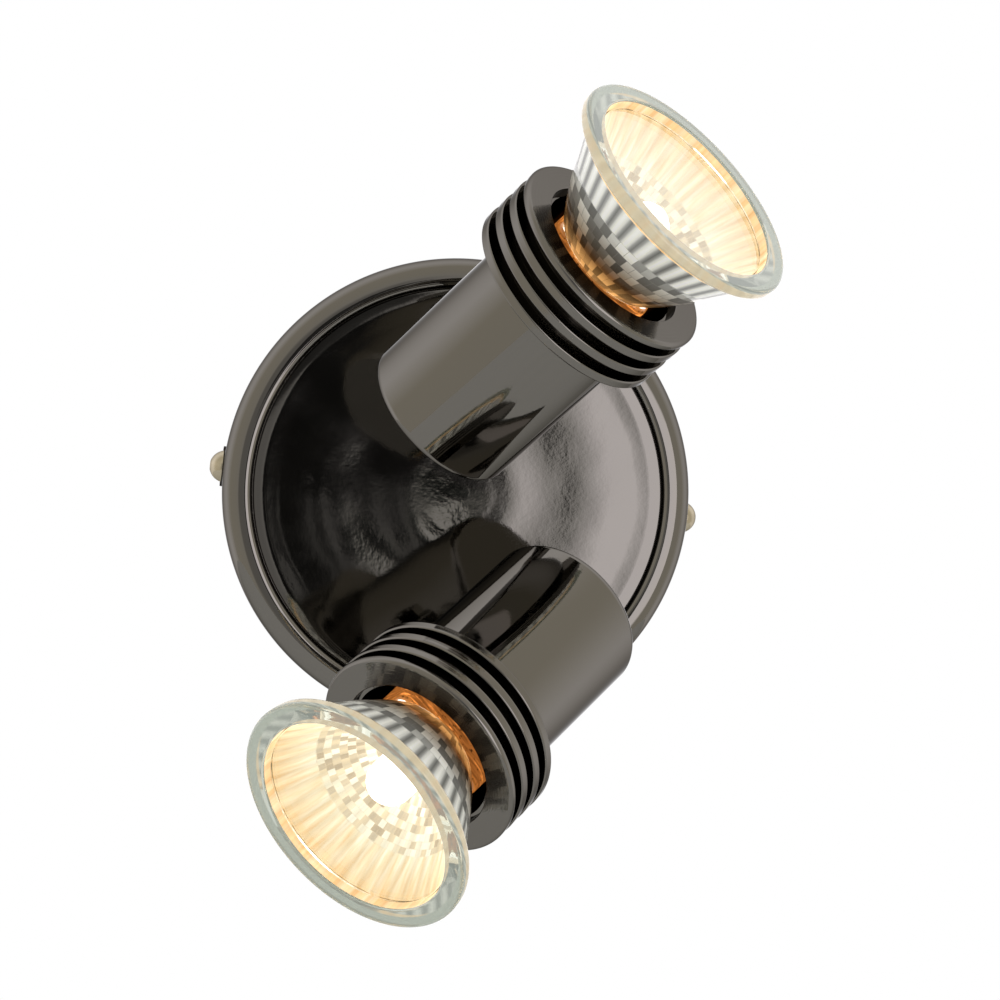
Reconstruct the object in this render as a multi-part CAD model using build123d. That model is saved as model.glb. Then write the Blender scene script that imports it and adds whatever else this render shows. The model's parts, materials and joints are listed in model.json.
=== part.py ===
from build123d import *
from math import asin, cos, degrees, pi, radians, sin, sqrt
import os

# Twin spotlight on a round wall plate. Millimetres; the wall is the plane Y = 0, the room lies on
# the -Y side and Z is up. The origin is the plate's centre on the wall.

# Base plate, pressed from sheet with a broad rolled rim and a crease inside it
plate_rim_radius = 50.0
plate_height = 19.4
plate_sheet = 1.0
rim_rise = 1.1
rim_round_radius = 4.8
rim_lip_radius = 1.3
rim_fold_radius = 1.2
skirt_step = 1.6
crease_width = 0.6
crease_drop = 1.5
shoulder_radius = 20.0
shoulder_reach = 2.3
rim_crest_height = plate_height + rim_rise
rim_round_height = rim_crest_height - rim_round_radius
rim_lip_height = rim_crest_height - rim_lip_radius
rim_fold_bottom = rim_round_height - rim_fold_radius
rim_crest_radius = plate_rim_radius - rim_round_radius
rim_fold_centre = plate_rim_radius - rim_fold_radius
skirt_radius = plate_rim_radius - skirt_step
crease_height = plate_height - crease_drop
crease_centre = rim_crest_radius - rim_lip_radius - crease_width / 2
flat_radius = crease_centre - crease_width / 2 - shoulder_reach

# Wall strap with an ear at each end for the side screws
strap_sheet = 1.5
strap_width = 13.0
strap_end_gap = 0.9
strap_bend_radius = 2.2
strap_ear_end = 4.9
wall_slot_inset = 21.1
wall_slot_width = 4.5
wall_slot_length = 12.0
strap_half_length = skirt_radius - plate_sheet - strap_end_gap
wall_slot_spacing = 2 * (strap_half_length - wall_slot_inset)

# Side screws, domed, in cup washers
thread_clearance = 0.05
side_screw_drop = 4.5
side_screw_shank_radius = 1.95
side_screw_length = 8.6
side_screw_hole_radius = 2.2
side_screw_head_radius = 3.4
side_screw_head_wall = 0.9
side_screw_dome_height = 2.9
side_washer_foot_radius = 3.2
side_washer_radius = 4.3
side_washer_height = 1.8
side_washer_thickness = 0.6
side_screw_height = rim_fold_bottom - side_screw_drop
strap_ear_height = side_screw_height + strap_ear_end

# Connector strip on the strap, with its brass sleeves and screws
terminal_pitch = 8.0
terminal_poles = 3
terminal_width = 16.0
terminal_height = 12.5
terminal_edge_radius = 1.2
sleeve_radius = 2.2
sleeve_bore_radius = 1.4
sleeve_length = 14.0
sleeve_height = 4.6
terminal_screw_radius = 1.25
terminal_screw_length = 5.6
terminal_screw_spacing = 8.0
terminal_slot_width = 0.6
terminal_slot_depth = 0.6
fixing_screw_radius = 1.45
fixing_screw_head_radius = 2.6
fixing_screw_head_height = 1.8
fixing_screw_seat_height = 7.2
small_fit = 0.05
screw_end_gap = 0.2

# Earth screw and its cup washer on the strap
earth_screw_inset = 9.0
earth_screw_shank_radius = 1.95
earth_screw_head_radius = 3.4
earth_screw_head_height = 2.4
earth_washer_radius = 3.8
earth_washer_thickness = 1.0
earth_screw_x = earth_screw_inset - strap_half_length

# Proportions of the small slotted screws, as shares of the head's height or radius
head_round_share = 0.6
slot_width_share = 0.3
slot_depth_share = 0.35

# Stem that turns in the plate
nipple_radius = 4.95
running_fit = 0.05
stem_washer_radius = 6.9
stem_washer_thickness = 1.0
stem_washer_margin = 0.1
stem_spring_radius = 6.6
stem_spring_thickness = 0.9
stem_nut_width = 13.0
stem_nut_thickness = 3.0
nipple_end = 0.7
collar_radius = 6.5
collar_height = 2.5
collar_edge_radius = 0.9
rod_radius = 5.25
lead_bore_radius = 2.5
pivot_height = 38.1
stem_spacing = 2 * (flat_radius - stem_washer_radius - stem_washer_margin)

# Half-lap tilt knuckle between stem and head
lap_shoulder = 7.0
knuckle_radius = rod_radius
knuckle_washer_thickness = 0.5
knuckle_washer_edge = 0.1
tongue_thickness = rod_radius - knuckle_washer_thickness
pivot_hole_radius = 2.0
lead_pocket_inner = 2.7
lead_pocket_wall = 0.95
lead_pocket_depth = 2.2
lead_pocket_outer = knuckle_radius - lead_pocket_wall
knuckle_washer_inner = lead_pocket_outer + knuckle_washer_edge
knuckle_washer_outer = knuckle_radius - knuckle_washer_edge
lead_groove_end = 3.4
lug_thickness = 4.5
lug_web_reach = 5.6
lug_neck_radius = 4.0
lug_flange_radius = 5.0
lug_flange_height = 1.6
lug_stud_radius = 2.95
lug_bore_radius = 1.7
lug_nut_radius = 4.6
lug_nut_thickness = 2.0
lug_stud_end = 0.4
tilt_screw_radius = 1.95
tilt_screw_head_radius = 3.4
tilt_screw_head_height = 2.2
tilt_screw_head_round = 0.88
tilt_screw_slot_width = 1.0
tilt_screw_slot_depth = 0.9
tilt_screw_end = 0.5
tilt_spring_radius = 3.4
tilt_spring_thickness = 0.8
tilt_nut_width = 7.0
tilt_nut_thickness = 2.4
spring_split = 0.6

# Head: plain cylinder, closed at the rear, open at the finned ring
body_radius = 16.25
body_wall = 1.2
knuckle_standoff = 13.25
body_rear = 7.0
body_rear_edge = 1.8
body_length = 49.5
body_surface_gap = 0.03
head_axis_reach = body_radius + knuckle_standoff
body_inner = body_radius - body_wall
body_front = body_length - body_rear

# Finned ring pushed on to the front of the cylinder
ring_sleeve_wall = 1.25
ring_lip = 1.5
ring_lip_overlap = 0.35
front_fin = 1.6
fin_depth = 4.1
fin_thickness = 1.9
fin_groove = 2.05
fin_count = 4
fin_edge_radius = 0.4
front_edge_radius = 0.75
ring_opening_radius = body_radius - ring_lip_overlap
fin_floor_radius = body_radius + ring_sleeve_wall
ring_radius = fin_floor_radius + fin_depth

# Ceramic lampholder, bracket and contacts
holder_side_gap = 2.05
holder_flat_gap = 6.05
holder_corner = 5.0
holder_length = 11.5
holder_edge_radius = 0.8
pin_spacing = 10.0
pin_twist = 30.0
pin_neck_gap = 0.3
pin_front_wall = 2.0
pin_end_gap = 1.0
contact_thickness = 0.4
contact_width = 4.4
contact_tail_width = 2.4
contact_tail_thickness = 0.7
contact_tail_x = 6.0
contact_tail_length = 4.0
bracket_sheet = 1.0
bracket_half_width = 4.5
bracket_foot_gap = 0.85
bracket_nut_gap = 0.4
bracket_top_margin = 2.0
holder_screw_inset = 3.5
holder_screw_radius = 1.45
holder_screw_length = 6.0
holder_screw_head_radius = 2.6
holder_screw_head_height = 1.8
holder_screw_hole_radius = 1.6
holder_width = 2 * (body_inner - holder_side_gap)
holder_depth = 2 * (body_inner - holder_flat_gap)
bracket_foot_rear = lug_nut_radius + bracket_nut_gap
holder_rear = bracket_foot_rear + bracket_sheet
holder_front = holder_rear + holder_length
holder_screw_offset = holder_depth / 2 - holder_screw_inset
bracket_top = holder_screw_offset + bracket_top_margin

# Reflector lamp, pressed glass with a faceted mirror inside; depths are measured back from the rim
lamp_radius = 25.0
lamp_length = 46.5
lamp_seat_gap = 0.2
lamp_flange = 2.4
lamp_flange_edge = 0.9
flange_ledge = 2.0
bowl_foot_radius = 10.8
bowl_foot_depth = 22.5
bowl_bulge = 0.4
bowl_sag = 0.75
neck_width = 23.2
neck_depth = 15.0
neck_corner = 3.0
neck_overlap = 4.0
rim_width = 4.4
mouth_step_depth = 3.6
mirror_ledge = 1.0
flute_share = 0.4
facet_rows = 6
facet_columns = 36
cover_gap = 0.2
cover_thickness = 1.9
capsule_radius = 4.6
capsule_gap = 0.6
capsule_wall = 0.7
capsule_tip_depth = 8.5
socket_floor = 8.5
filament_radius = 0.9
filament_lead_radius = 0.35
filament_tip_gap = 5.0
filament_length = 10.0
filament_return_x = 2.2
pin_neck_radius = 1.5
pin_head_radius = 2.5
pin_head_height = 2.4
pin_length = 7.3
pin_cavity_depth = pin_length + pin_end_gap
lamp_foot = holder_front + lamp_seat_gap
lamp_rim = lamp_foot + lamp_length
bowl_top_radius = lamp_radius - flange_ledge
bowl_middle_radius = (bowl_top_radius + bowl_foot_radius) / 2 + bowl_bulge
bowl_middle_depth = (lamp_flange + bowl_foot_depth) / 2 + bowl_sag
neck_top_depth = bowl_foot_depth - neck_overlap
mouth_step_radius = lamp_radius - rim_width
mirror_mouth_radius = mouth_step_radius - mirror_ledge
mirror_throat_radius = capsule_radius + capsule_gap
cover_radius = mouth_step_radius - cover_gap
capsule_socket_depth = lamp_length - socket_floor
filament_top_depth = capsule_tip_depth + filament_tip_gap

# How the two spots stand in the photo: turned about the stem, then raised from the wall
upper_turn_degrees = 51.36
upper_raise_degrees = 30.58
lower_turn_degrees = -136.15
lower_raise_degrees = 37.42

# Each spot's name, its side of the plate's centre and the side its lug lies on
spots = [
    ("upper", 1, -1, upper_turn_degrees, upper_raise_degrees),
    ("lower", -1, 1, lower_turn_degrees, lower_raise_degrees),
]

os.makedirs("parts", exist_ok=True)


def save(name, *solids):
    """Write one node, as one solid or as a group of like solids."""
    shape = solids[0] if len(solids) == 1 else Compound(children=list(solids))
    export_step(shape, "parts/" + name + ".step")


def turned(*outline):
    """Solid turned about Z from its (radius, height) corners."""
    return revolve(Plane.XZ * make_face(Polyline(*outline, close=True)), Axis.Z)


def rod(radius, start, end):
    """Cylinder on Z between two heights."""
    return Pos(0, 0, start) * extrude(Circle(radius), end - start)


def ring(inner, outer, start, end):
    """Flat ring on Z between two heights."""
    return Pos(0, 0, start) * extrude(Circle(outer) - Circle(inner), end - start)


def hexagon(width, start, end):
    """Hexagonal prism on Z, by its width across flats."""
    flat = width / 2
    return Pos(0, 0, start) * extrude(RegularPolygon(flat, 6, major_radius=False), end - start)


def spring_ring(inner, outer, start, end):
    """Split spring washer on Z."""
    cut = Pos(outer, 0, (start + end) / 2) * Box(2 * outer, spring_split, 2 * (end - start))
    return ring(inner, outer, start, end) - cut


def pan_head(shank, head, head_height, length):
    """Slotted round-head screw on Z: the head's seat is at zero, the shank runs down."""
    dome = rod(head, 0, head_height)
    dome = fillet(dome.edges().sort_by(Axis.Z)[-1], head_height * head_round_share)
    slot = Box(2 * head, head * slot_width_share, 2 * head_height * slot_depth_share)
    return dome + rod(shank, -length, 0) - Pos(0, 0, head_height) * slot


# Base plate


def section_arc(across, height, radius, start, end):
    """Arc of the plate's section about one point, by angles in degrees from straight outward."""
    angles = [radians(start), radians((start + end) / 2), radians(end)]
    return ThreePointArc(*[(across + radius * cos(angle), -height - radius * sin(angle)) for angle in angles])


def plate_skin(inset):
    """Lines and arcs of the plate's section at one depth inside its outer skin, from wall to centre."""
    skirt = skirt_radius - inset
    fold_bottom = rim_fold_bottom + inset
    crease = crease_width / 2 + inset
    shoulder = shoulder_radius - inset
    face = plate_height - inset
    crease_outer = crease_centre + crease
    crease_inner = crease_centre - crease
    lean = degrees(asin((crease_inner - flat_radius) / shoulder))
    shoulder_end = face - shoulder * (1 - cos(radians(lean)))
    return [
        Line((skirt, 0), (skirt, -fold_bottom)),
        Line((skirt, -fold_bottom), (rim_fold_centre, -fold_bottom)),
        section_arc(rim_fold_centre, rim_round_height, rim_fold_radius - inset, -90, 0),
        section_arc(rim_crest_radius, rim_round_height, rim_round_radius - inset, 0, 90),
        section_arc(rim_crest_radius, rim_lip_height, rim_lip_radius - inset, 90, 180),
        Line((crease_outer, -rim_lip_height), (crease_outer, -crease_height)),
        section_arc(crease_centre, crease_height, crease, 0, -180),
        Line((crease_inner, -crease_height), (crease_inner, -shoulder_end)),
        section_arc(flat_radius, face - shoulder, shoulder, 90 - lean, 90),
        Line((flat_radius, -face), (0, -face)),
    ]


outer_skin = plate_skin(0)
inner_skin = plate_skin(plate_sheet)
skin_ends = [
    Line((0, -plate_height), (0, -plate_height + plate_sheet)),
    Line((skirt_radius, 0), (skirt_radius - plate_sheet, 0)),
]
base_plate = revolve(make_face(outer_skin + inner_skin + skin_ends), Axis.Y)
stem_hole = Plane.XZ * rod(nipple_radius + running_fit, 0, 2 * plate_height)
for stem_z in (stem_spacing / 2, -stem_spacing / 2):
    base_plate -= Pos(0, 0, stem_z) * stem_hole
side_axis = Plane((0, -side_screw_height, 0), x_dir=(0, 1, 0), z_dir=(1, 0, 0))
base_plate -= side_axis * rod(side_screw_hole_radius, -plate_rim_radius, plate_rim_radius)
save("base_plate", base_plate)

# Wall strap

strap_inner = strap_half_length - strap_sheet
strap_profile = make_face(
    Polyline(
        (-strap_half_length, 0),
        (strap_half_length, 0),
        (strap_half_length, -strap_ear_height),
        (strap_inner, -strap_ear_height),
        (strap_inner, -strap_sheet),
        (-strap_inner, -strap_sheet),
        (-strap_inner, -strap_ear_height),
        (-strap_half_length, -strap_ear_height),
        close=True,
    )
)
strap = Pos(0, 0, -strap_width / 2) * extrude(strap_profile, strap_width)
upright_edges = strap.edges().filter_by(Axis.Z)
strap = fillet(upright_edges.group_by(Axis.Y)[-1], strap_bend_radius)
inner_corners = strap.edges().filter_by(Axis.Z).filter_by(lambda edge: abs(edge.center().X) == strap_inner)
strap = fillet(inner_corners.group_by(Axis.Y)[-1], strap_bend_radius - strap_sheet)
wall_slot = Plane.XZ * extrude(SlotOverall(wall_slot_length, wall_slot_width), strap_sheet)
for slot_x in (-wall_slot_spacing / 2, wall_slot_spacing / 2):
    strap -= Pos(slot_x, 0, 0) * wall_slot
strap -= side_axis * rod(side_screw_shank_radius + thread_clearance, -plate_rim_radius, plate_rim_radius)
fixing_screw_x = terminal_pitch / 2
strap -= Pos(fixing_screw_x, 0, 0) * (Plane.XZ * rod(fixing_screw_radius + thread_clearance, 0, strap_sheet))
earth_hole = Plane.XZ * rod(earth_screw_shank_radius + thread_clearance, 0, strap_sheet)
strap -= Pos(earth_screw_x, 0, 0) * earth_hole
save("mounting_strap", strap)

# Side screws and washers, one at each end of the strap

side_washer = turned(
    (side_screw_hole_radius, 0),
    (side_washer_foot_radius, 0),
    (side_washer_radius, side_washer_height - side_washer_thickness),
    (side_washer_radius, side_washer_height),
    (side_screw_head_radius, side_washer_thickness),
    (side_screw_hole_radius, side_washer_thickness),
)
dome_radius = (side_screw_head_radius**2 + side_screw_dome_height**2) / (2 * side_screw_dome_height)
head_top = side_screw_head_wall + side_screw_dome_height
dome_centre = head_top - dome_radius
dome_angle = (pi / 2 + asin((side_screw_head_wall - dome_centre) / dome_radius)) / 2
dome_profile = Plane.XZ * make_face(
    [
        Line((0, 0), (side_screw_head_radius, 0)),
        Line((side_screw_head_radius, 0), (side_screw_head_radius, side_screw_head_wall)),
        ThreePointArc(
            (side_screw_head_radius, side_screw_head_wall),
            (dome_radius * cos(dome_angle), dome_centre + dome_radius * sin(dome_angle)),
            (0, head_top),
        ),
        Line((0, head_top), (0, 0)),
    ]
)
side_screw = revolve(dome_profile, Axis.Z) + rod(side_screw_shank_radius, -side_screw_length, 0)
side_screws = []
side_washers = []
for direction in (1, -1):
    seat = Plane((direction * skirt_radius, -side_screw_height, 0), x_dir=(0, 1, 0), z_dir=(direction, 0, 0))
    side_washers.append(seat * side_washer)
    side_screws.append(seat * Pos(0, 0, side_washer_thickness) * side_screw)
save("side_screws", *side_screws)
save("side_washers", *side_washers)

# Connector strip: Z of its own frame points away from the wall, Y along the wires

strip_frame = Plane((0, -strap_sheet, 0), x_dir=(1, 0, 0), z_dir=(0, -1, 0))
strip_length = terminal_pitch * terminal_poles
strip = Pos(0, 0, terminal_height / 2) * Box(strip_length, terminal_width, terminal_height)
strip = fillet(strip.edges().filter_by(Axis.Z), terminal_edge_radius)
strip -= Pos(fixing_screw_x, 0, 0) * rod(fixing_screw_radius + small_fit, 0, terminal_height)
head_recess = rod(fixing_screw_head_radius + small_fit, fixing_screw_seat_height, terminal_height)
strip -= Pos(fixing_screw_x, 0, 0) * head_recess
sleeves = []
terminal_screws = []
wire_axis = Plane((0, 0, sleeve_height), x_dir=(1, 0, 0), z_dir=(0, 1, 0))
screw_seat = sleeve_height + sleeve_radius + terminal_screw_length - sleeve_bore_radius
for pole in range(terminal_poles):
    pole_x = (pole - (terminal_poles - 1) / 2) * terminal_pitch
    wire_hole = wire_axis * rod(sleeve_radius + small_fit, -terminal_width, terminal_width)
    strip -= Pos(pole_x, 0, 0) * wire_hole
    sleeve = wire_axis * ring(sleeve_bore_radius, sleeve_radius, -sleeve_length / 2, sleeve_length / 2)
    for screw_y in (-terminal_screw_spacing / 2, terminal_screw_spacing / 2):
        chimney = rod(terminal_screw_radius + small_fit, sleeve_height, terminal_height)
        strip -= Pos(pole_x, screw_y, 0) * chimney
        sleeve -= Pos(0, screw_y, 0) * rod(terminal_screw_radius + small_fit, sleeve_height, terminal_height)
        screw = rod(terminal_screw_radius, screw_seat - terminal_screw_length, screw_seat)
        slot = Pos(0, 0, screw_seat) * Box(
            4 * terminal_screw_radius, terminal_slot_width, 2 * terminal_slot_depth
        )
        terminal_screws.append(strip_frame * Pos(pole_x, screw_y, 0) * (screw - slot))
    sleeves.append(strip_frame * Pos(pole_x, 0, 0) * sleeve)
save("terminal_block", strip_frame * strip)
save("terminal_sleeves", *sleeves)
save("terminal_screws", *terminal_screws)
fixing_length = fixing_screw_seat_height + strap_sheet - screw_end_gap
fixing_screw = pan_head(
    fixing_screw_radius, fixing_screw_head_radius, fixing_screw_head_height, fixing_length
)
fixing_seat = Pos(fixing_screw_x, 0, fixing_screw_seat_height)
save("terminal_fixing_screw", strip_frame * fixing_seat * fixing_screw)

# Earth screw and cup washer

earth_hole_radius = earth_screw_shank_radius + small_fit
earth_washer = ring(earth_hole_radius, earth_washer_radius, 0, earth_washer_thickness)
earth_length = earth_washer_thickness + strap_sheet - screw_end_gap
earth_screw = pan_head(
    earth_screw_shank_radius, earth_screw_head_radius, earth_screw_head_height, earth_length
)
save("earth_washer", strip_frame * Pos(earth_screw_x, 0, 0) * earth_washer)
save("earth_screw", strip_frame * Pos(earth_screw_x, 0, earth_washer_thickness) * earth_screw)

# Stem and what clamps it to the plate; Z points out of the plate, the head's lug is on the +Y side

pivot_axis = Plane((0, 0, pivot_height), x_dir=(1, 0, 0), z_dir=(0, 1, 0))
washer_top = -plate_sheet
spring_top = washer_top - stem_washer_thickness
nut_top = spring_top - stem_spring_thickness
nut_bottom = nut_top - stem_nut_thickness
nipple_bottom = nut_bottom - nipple_end
collar = fillet(rod(collar_radius, 0, collar_height).edges().sort_by(Axis.Z)[-1], collar_edge_radius)
tongue_root = Pos(0, lap_shoulder / 2) * Rectangle(2 * knuckle_radius, lap_shoulder)
tongue_outline = Circle(knuckle_radius) + tongue_root
tongue_face = -knuckle_washer_thickness
tongue = pivot_axis * Pos(0, 0, tongue_face - tongue_thickness) * extrude(tongue_outline, tongue_thickness)
stem = rod(nipple_radius, nipple_bottom, 0) + collar
stem += rod(rod_radius, 0, pivot_height - lap_shoulder) + tongue
stem -= rod(lead_bore_radius, nipple_bottom, pivot_height - lead_groove_end)
stem -= pivot_axis * rod(pivot_hole_radius, -2 * knuckle_radius, knuckle_radius)
stem -= pivot_axis * ring(lead_pocket_inner, lead_pocket_outer, tongue_face - lead_pocket_depth, tongue_face)
stem_washer = ring(nipple_radius + running_fit, stem_washer_radius, spring_top, washer_top)
stem_spring_washer = spring_ring(nipple_radius + running_fit, stem_spring_radius, nut_top, spring_top)
stem_nut = hexagon(stem_nut_width, nut_bottom, nut_top)
stem_nut -= rod(nipple_radius + thread_clearance, nut_bottom, nut_top)

# Knuckle fastener on the tilt axis

knuckle_washer = pivot_axis * ring(knuckle_washer_inner, knuckle_washer_outer, tongue_face, 0)
tilt_seat = lug_thickness + tilt_spring_thickness
tilt_nut_face = tongue_face - tongue_thickness
tilt_nut_end = tilt_nut_face - tilt_nut_thickness
tilt_spring_washer = pivot_axis * spring_ring(
    tilt_screw_radius + thread_clearance, tilt_spring_radius, lug_thickness, tilt_seat
)
tilt_head = rod(tilt_screw_head_radius, tilt_seat, tilt_seat + tilt_screw_head_height)
tilt_head = fillet(tilt_head.edges().sort_by(Axis.Z)[-1], tilt_screw_head_round)
tilt_slot = Pos(0, 0, tilt_seat + tilt_screw_head_height - tilt_screw_slot_depth / 2) * Box(
    3 * tilt_screw_head_radius, tilt_screw_slot_width, tilt_screw_slot_depth
)
tilt_shank = rod(tilt_screw_radius, tilt_nut_end - tilt_screw_end, tilt_seat)
tilt_screw = pivot_axis * (tilt_head - tilt_slot + tilt_shank)
tilt_nut = pivot_axis * (
    hexagon(tilt_nut_width, tilt_nut_end, tilt_nut_face)
    - rod(tilt_screw_radius + thread_clearance, tilt_nut_end, tilt_nut_face)
)

# Head lug; its own frame has the head's centre line along Z, the stem beyond -Y and the lap on the -X side

lug_axis = Plane((-lug_thickness / 2, -head_axis_reach, 0), x_dir=(0, 1, 0), z_dir=(1, 0, 0))
neck_axis = Plane((0, 0, 0), x_dir=(1, 0, 0), z_dir=(0, -1, 0))
web_reach = head_axis_reach - lug_web_reach
flange_reach = body_radius + lug_flange_height
foot_under = body_inner - bracket_foot_gap
foot_over = foot_under - bracket_sheet
lug_nut_end = foot_over - lug_nut_thickness
lug_web = Pos(lug_web_reach / 2, 0) * Rectangle(lug_web_reach, 2 * lug_neck_radius)
lug_outline = Circle(knuckle_radius) + lug_web
lug = lug_axis * extrude(lug_outline, lug_thickness)
lug += neck_axis * rod(lug_neck_radius, body_radius - body_wall, web_reach)
lug += neck_axis * rod(lug_flange_radius, body_radius - body_wall, flange_reach)
lug -= rod(body_radius + body_surface_gap, -body_length, body_length)
lug += neck_axis * rod(lug_stud_radius, lug_nut_end - lug_stud_end, flange_reach)
lug -= neck_axis * rod(lug_bore_radius, 0, head_axis_reach - lead_pocket_inner)
lug -= lug_axis * rod(pivot_hole_radius, 0, lug_thickness)
lug -= lug_axis * ring(lead_pocket_inner, lead_pocket_outer, 0, lead_pocket_depth)
lug_nut = neck_axis * ring(lug_stud_radius + thread_clearance, lug_nut_radius, lug_nut_end, foot_over)

# Head body and finned ring, turned about the head's centre line

body = rod(body_radius, -body_rear, body_front)
body = fillet(body.edges().sort_by(Axis.Z)[0], body_rear_edge)
body -= rod(body_inner, -body_rear + body_wall, body_front)
body -= neck_axis * rod(lug_stud_radius + thread_clearance, 0, 2 * body_radius)
ring_front = body_front + ring_lip
ring_length = front_fin + (fin_count - 1) * (fin_groove + fin_thickness)
ring_rear = ring_front - ring_length
front_ring = rod(ring_radius, ring_rear, ring_front)
for gap in range(fin_count - 1):
    groove_front = ring_front - front_fin - gap * (fin_groove + fin_thickness)
    front_ring -= ring(fin_floor_radius, 2 * ring_radius, groove_front - fin_groove, groove_front)
fin_edges = front_ring.edges().filter_by(lambda edge: edge.is_closed).group_by(SortBy.RADIUS)[-1]
front_ring = fillet(fin_edges.sort_by(Axis.Z)[:-1], fin_edge_radius)
front_ring = fillet(front_ring.edges().sort_by(Axis.Z)[-1], front_edge_radius)
front_ring -= rod(ring_opening_radius, ring_rear, ring_front)
front_ring -= rod(body_radius + body_surface_gap, ring_rear, body_front)

# Lampholder: keyhole slots that take the lamp's pins and lock them after a part turn

holder = extrude(RectangleRounded(holder_width, holder_depth, holder_corner), holder_length)
holder = fillet(holder.edges().sort_by(Axis.Z)[-8:], holder_edge_radius)
holder = Pos(0, 0, holder_rear) * holder
cavity_floor = holder_front - pin_cavity_depth
pin_track = CenterArc((0, 0), pin_spacing / 2, 0, pin_twist)
cavity = extrude(SlotArc(pin_track, 2 * (pin_head_radius + pin_neck_gap)), pin_cavity_depth - pin_front_wall)
neck_slot = extrude(SlotArc(pin_track, 2 * (pin_neck_radius + pin_neck_gap)), pin_cavity_depth)
entry = Rot(0, 0, pin_twist) * Pos(pin_spacing / 2, 0) * Circle(pin_head_radius + pin_neck_gap)
keyhole = Pos(0, 0, cavity_floor) * (cavity + neck_slot + extrude(entry, pin_cavity_depth))
tail_slot = Pos(contact_tail_x, 0, holder_rear) * Box(
    contact_tail_thickness + 2 * small_fit, contact_tail_width + 2 * small_fit, 2 * holder_length
)
contact = Pos(0, 0, cavity_floor) * extrude(SlotArc(pin_track, contact_width), contact_thickness)
tail_height = cavity_floor - holder_rear + contact_tail_length
contact += Pos(contact_tail_x, 0, cavity_floor - tail_height / 2) * Box(
    contact_tail_thickness, contact_tail_width, tail_height
)
tail_slot &= Pos(0, 0, holder_rear) * Box(2 * holder_width, holder_width, 2 * (cavity_floor - holder_rear))
contacts = []
for half_turn in (0, 180):
    holder -= Rot(0, 0, half_turn) * (keyhole + tail_slot)
    contacts.append(Rot(0, 0, half_turn) * contact)

# Bracket under the lug's nut, and the two screws that hold the lampholder on it

bracket_outline = Polyline(
    (-bracket_foot_rear, -foot_under),
    (holder_rear, -foot_under),
    (holder_rear, bracket_top),
    (holder_rear - bracket_sheet, bracket_top),
    (holder_rear - bracket_sheet, -foot_over),
    (-bracket_foot_rear, -foot_over),
    close=True,
)
side_plane = Plane((bracket_half_width, 0, 0), x_dir=(0, 0, 1), z_dir=(-1, 0, 0))
bracket = side_plane * extrude(make_face(bracket_outline), 2 * bracket_half_width)
bracket -= neck_axis * rod(lug_stud_radius + thread_clearance, 0, body_radius)
holder_screws = []
screw_seat_z = holder_rear - bracket_sheet
for screw_y in (-holder_screw_offset, holder_screw_offset):
    holder_screw = Pos(0, screw_y, screw_seat_z) * Rot(180, 0, 0) * pan_head(
        holder_screw_radius, holder_screw_head_radius, holder_screw_head_height, holder_screw_length
    )
    holder_screws.append(holder_screw)
    hole_end = screw_seat_z + holder_screw_length
    bracket -= Pos(0, screw_y, 0) * rod(holder_screw_hole_radius, 0, holder_rear)
    holder -= Pos(0, screw_y, 0) * rod(holder_screw_radius + thread_clearance, 0, hole_end + screw_end_gap)

# Reflector lamp: glass bowl with flange and flat neck; its mirror has long flutes, then rows of facets

glass_profile = Plane.XZ * make_face(
    [
        Line((0, lamp_rim), (lamp_radius, lamp_rim)),
        Line((lamp_radius, lamp_rim), (lamp_radius, lamp_rim - lamp_flange)),
        Line((lamp_radius, lamp_rim - lamp_flange), (bowl_top_radius, lamp_rim - lamp_flange)),
        ThreePointArc(
            (bowl_top_radius, lamp_rim - lamp_flange),
            (bowl_middle_radius, lamp_rim - bowl_middle_depth),
            (bowl_foot_radius, lamp_rim - bowl_foot_depth),
        ),
        Line((bowl_foot_radius, lamp_rim - bowl_foot_depth), (0, lamp_rim - bowl_foot_depth)),
        Line((0, lamp_rim - bowl_foot_depth), (0, lamp_rim)),
    ]
)
glass = revolve(glass_profile, Axis.Z)
flange_edges = glass.edges().filter_by(lambda edge: edge.is_closed).group_by(SortBy.RADIUS)[-1]
glass = fillet(flange_edges, lamp_flange_edge)
glass += Pos(0, 0, lamp_foot) * extrude(
    RectangleRounded(neck_width, neck_depth, neck_corner), lamp_length - neck_top_depth
)
ring_shares = [0] + [flute_share + (1 - flute_share) * row / facet_rows for row in range(facet_rows + 1)]
mirror_rings = []
for share in ring_shares:
    depth = mouth_step_depth + (bowl_foot_depth - mouth_step_depth) * share
    square = mirror_mouth_radius**2 + (mirror_throat_radius**2 - mirror_mouth_radius**2) * share
    mirror_rings.append(Pos(0, 0, lamp_rim - depth) * RegularPolygon(sqrt(square), facet_columns))
glass -= loft(mirror_rings, ruled=True)
glass -= rod(mouth_step_radius, lamp_rim - mouth_step_depth, lamp_rim)
glass -= rod(mirror_throat_radius, lamp_rim - capsule_socket_depth, lamp_rim - bowl_foot_depth)
cover_seat = lamp_rim - mouth_step_depth
cover = rod(cover_radius, cover_seat, cover_seat + cover_thickness)

# Capsule with its filament, and the two pins

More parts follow.
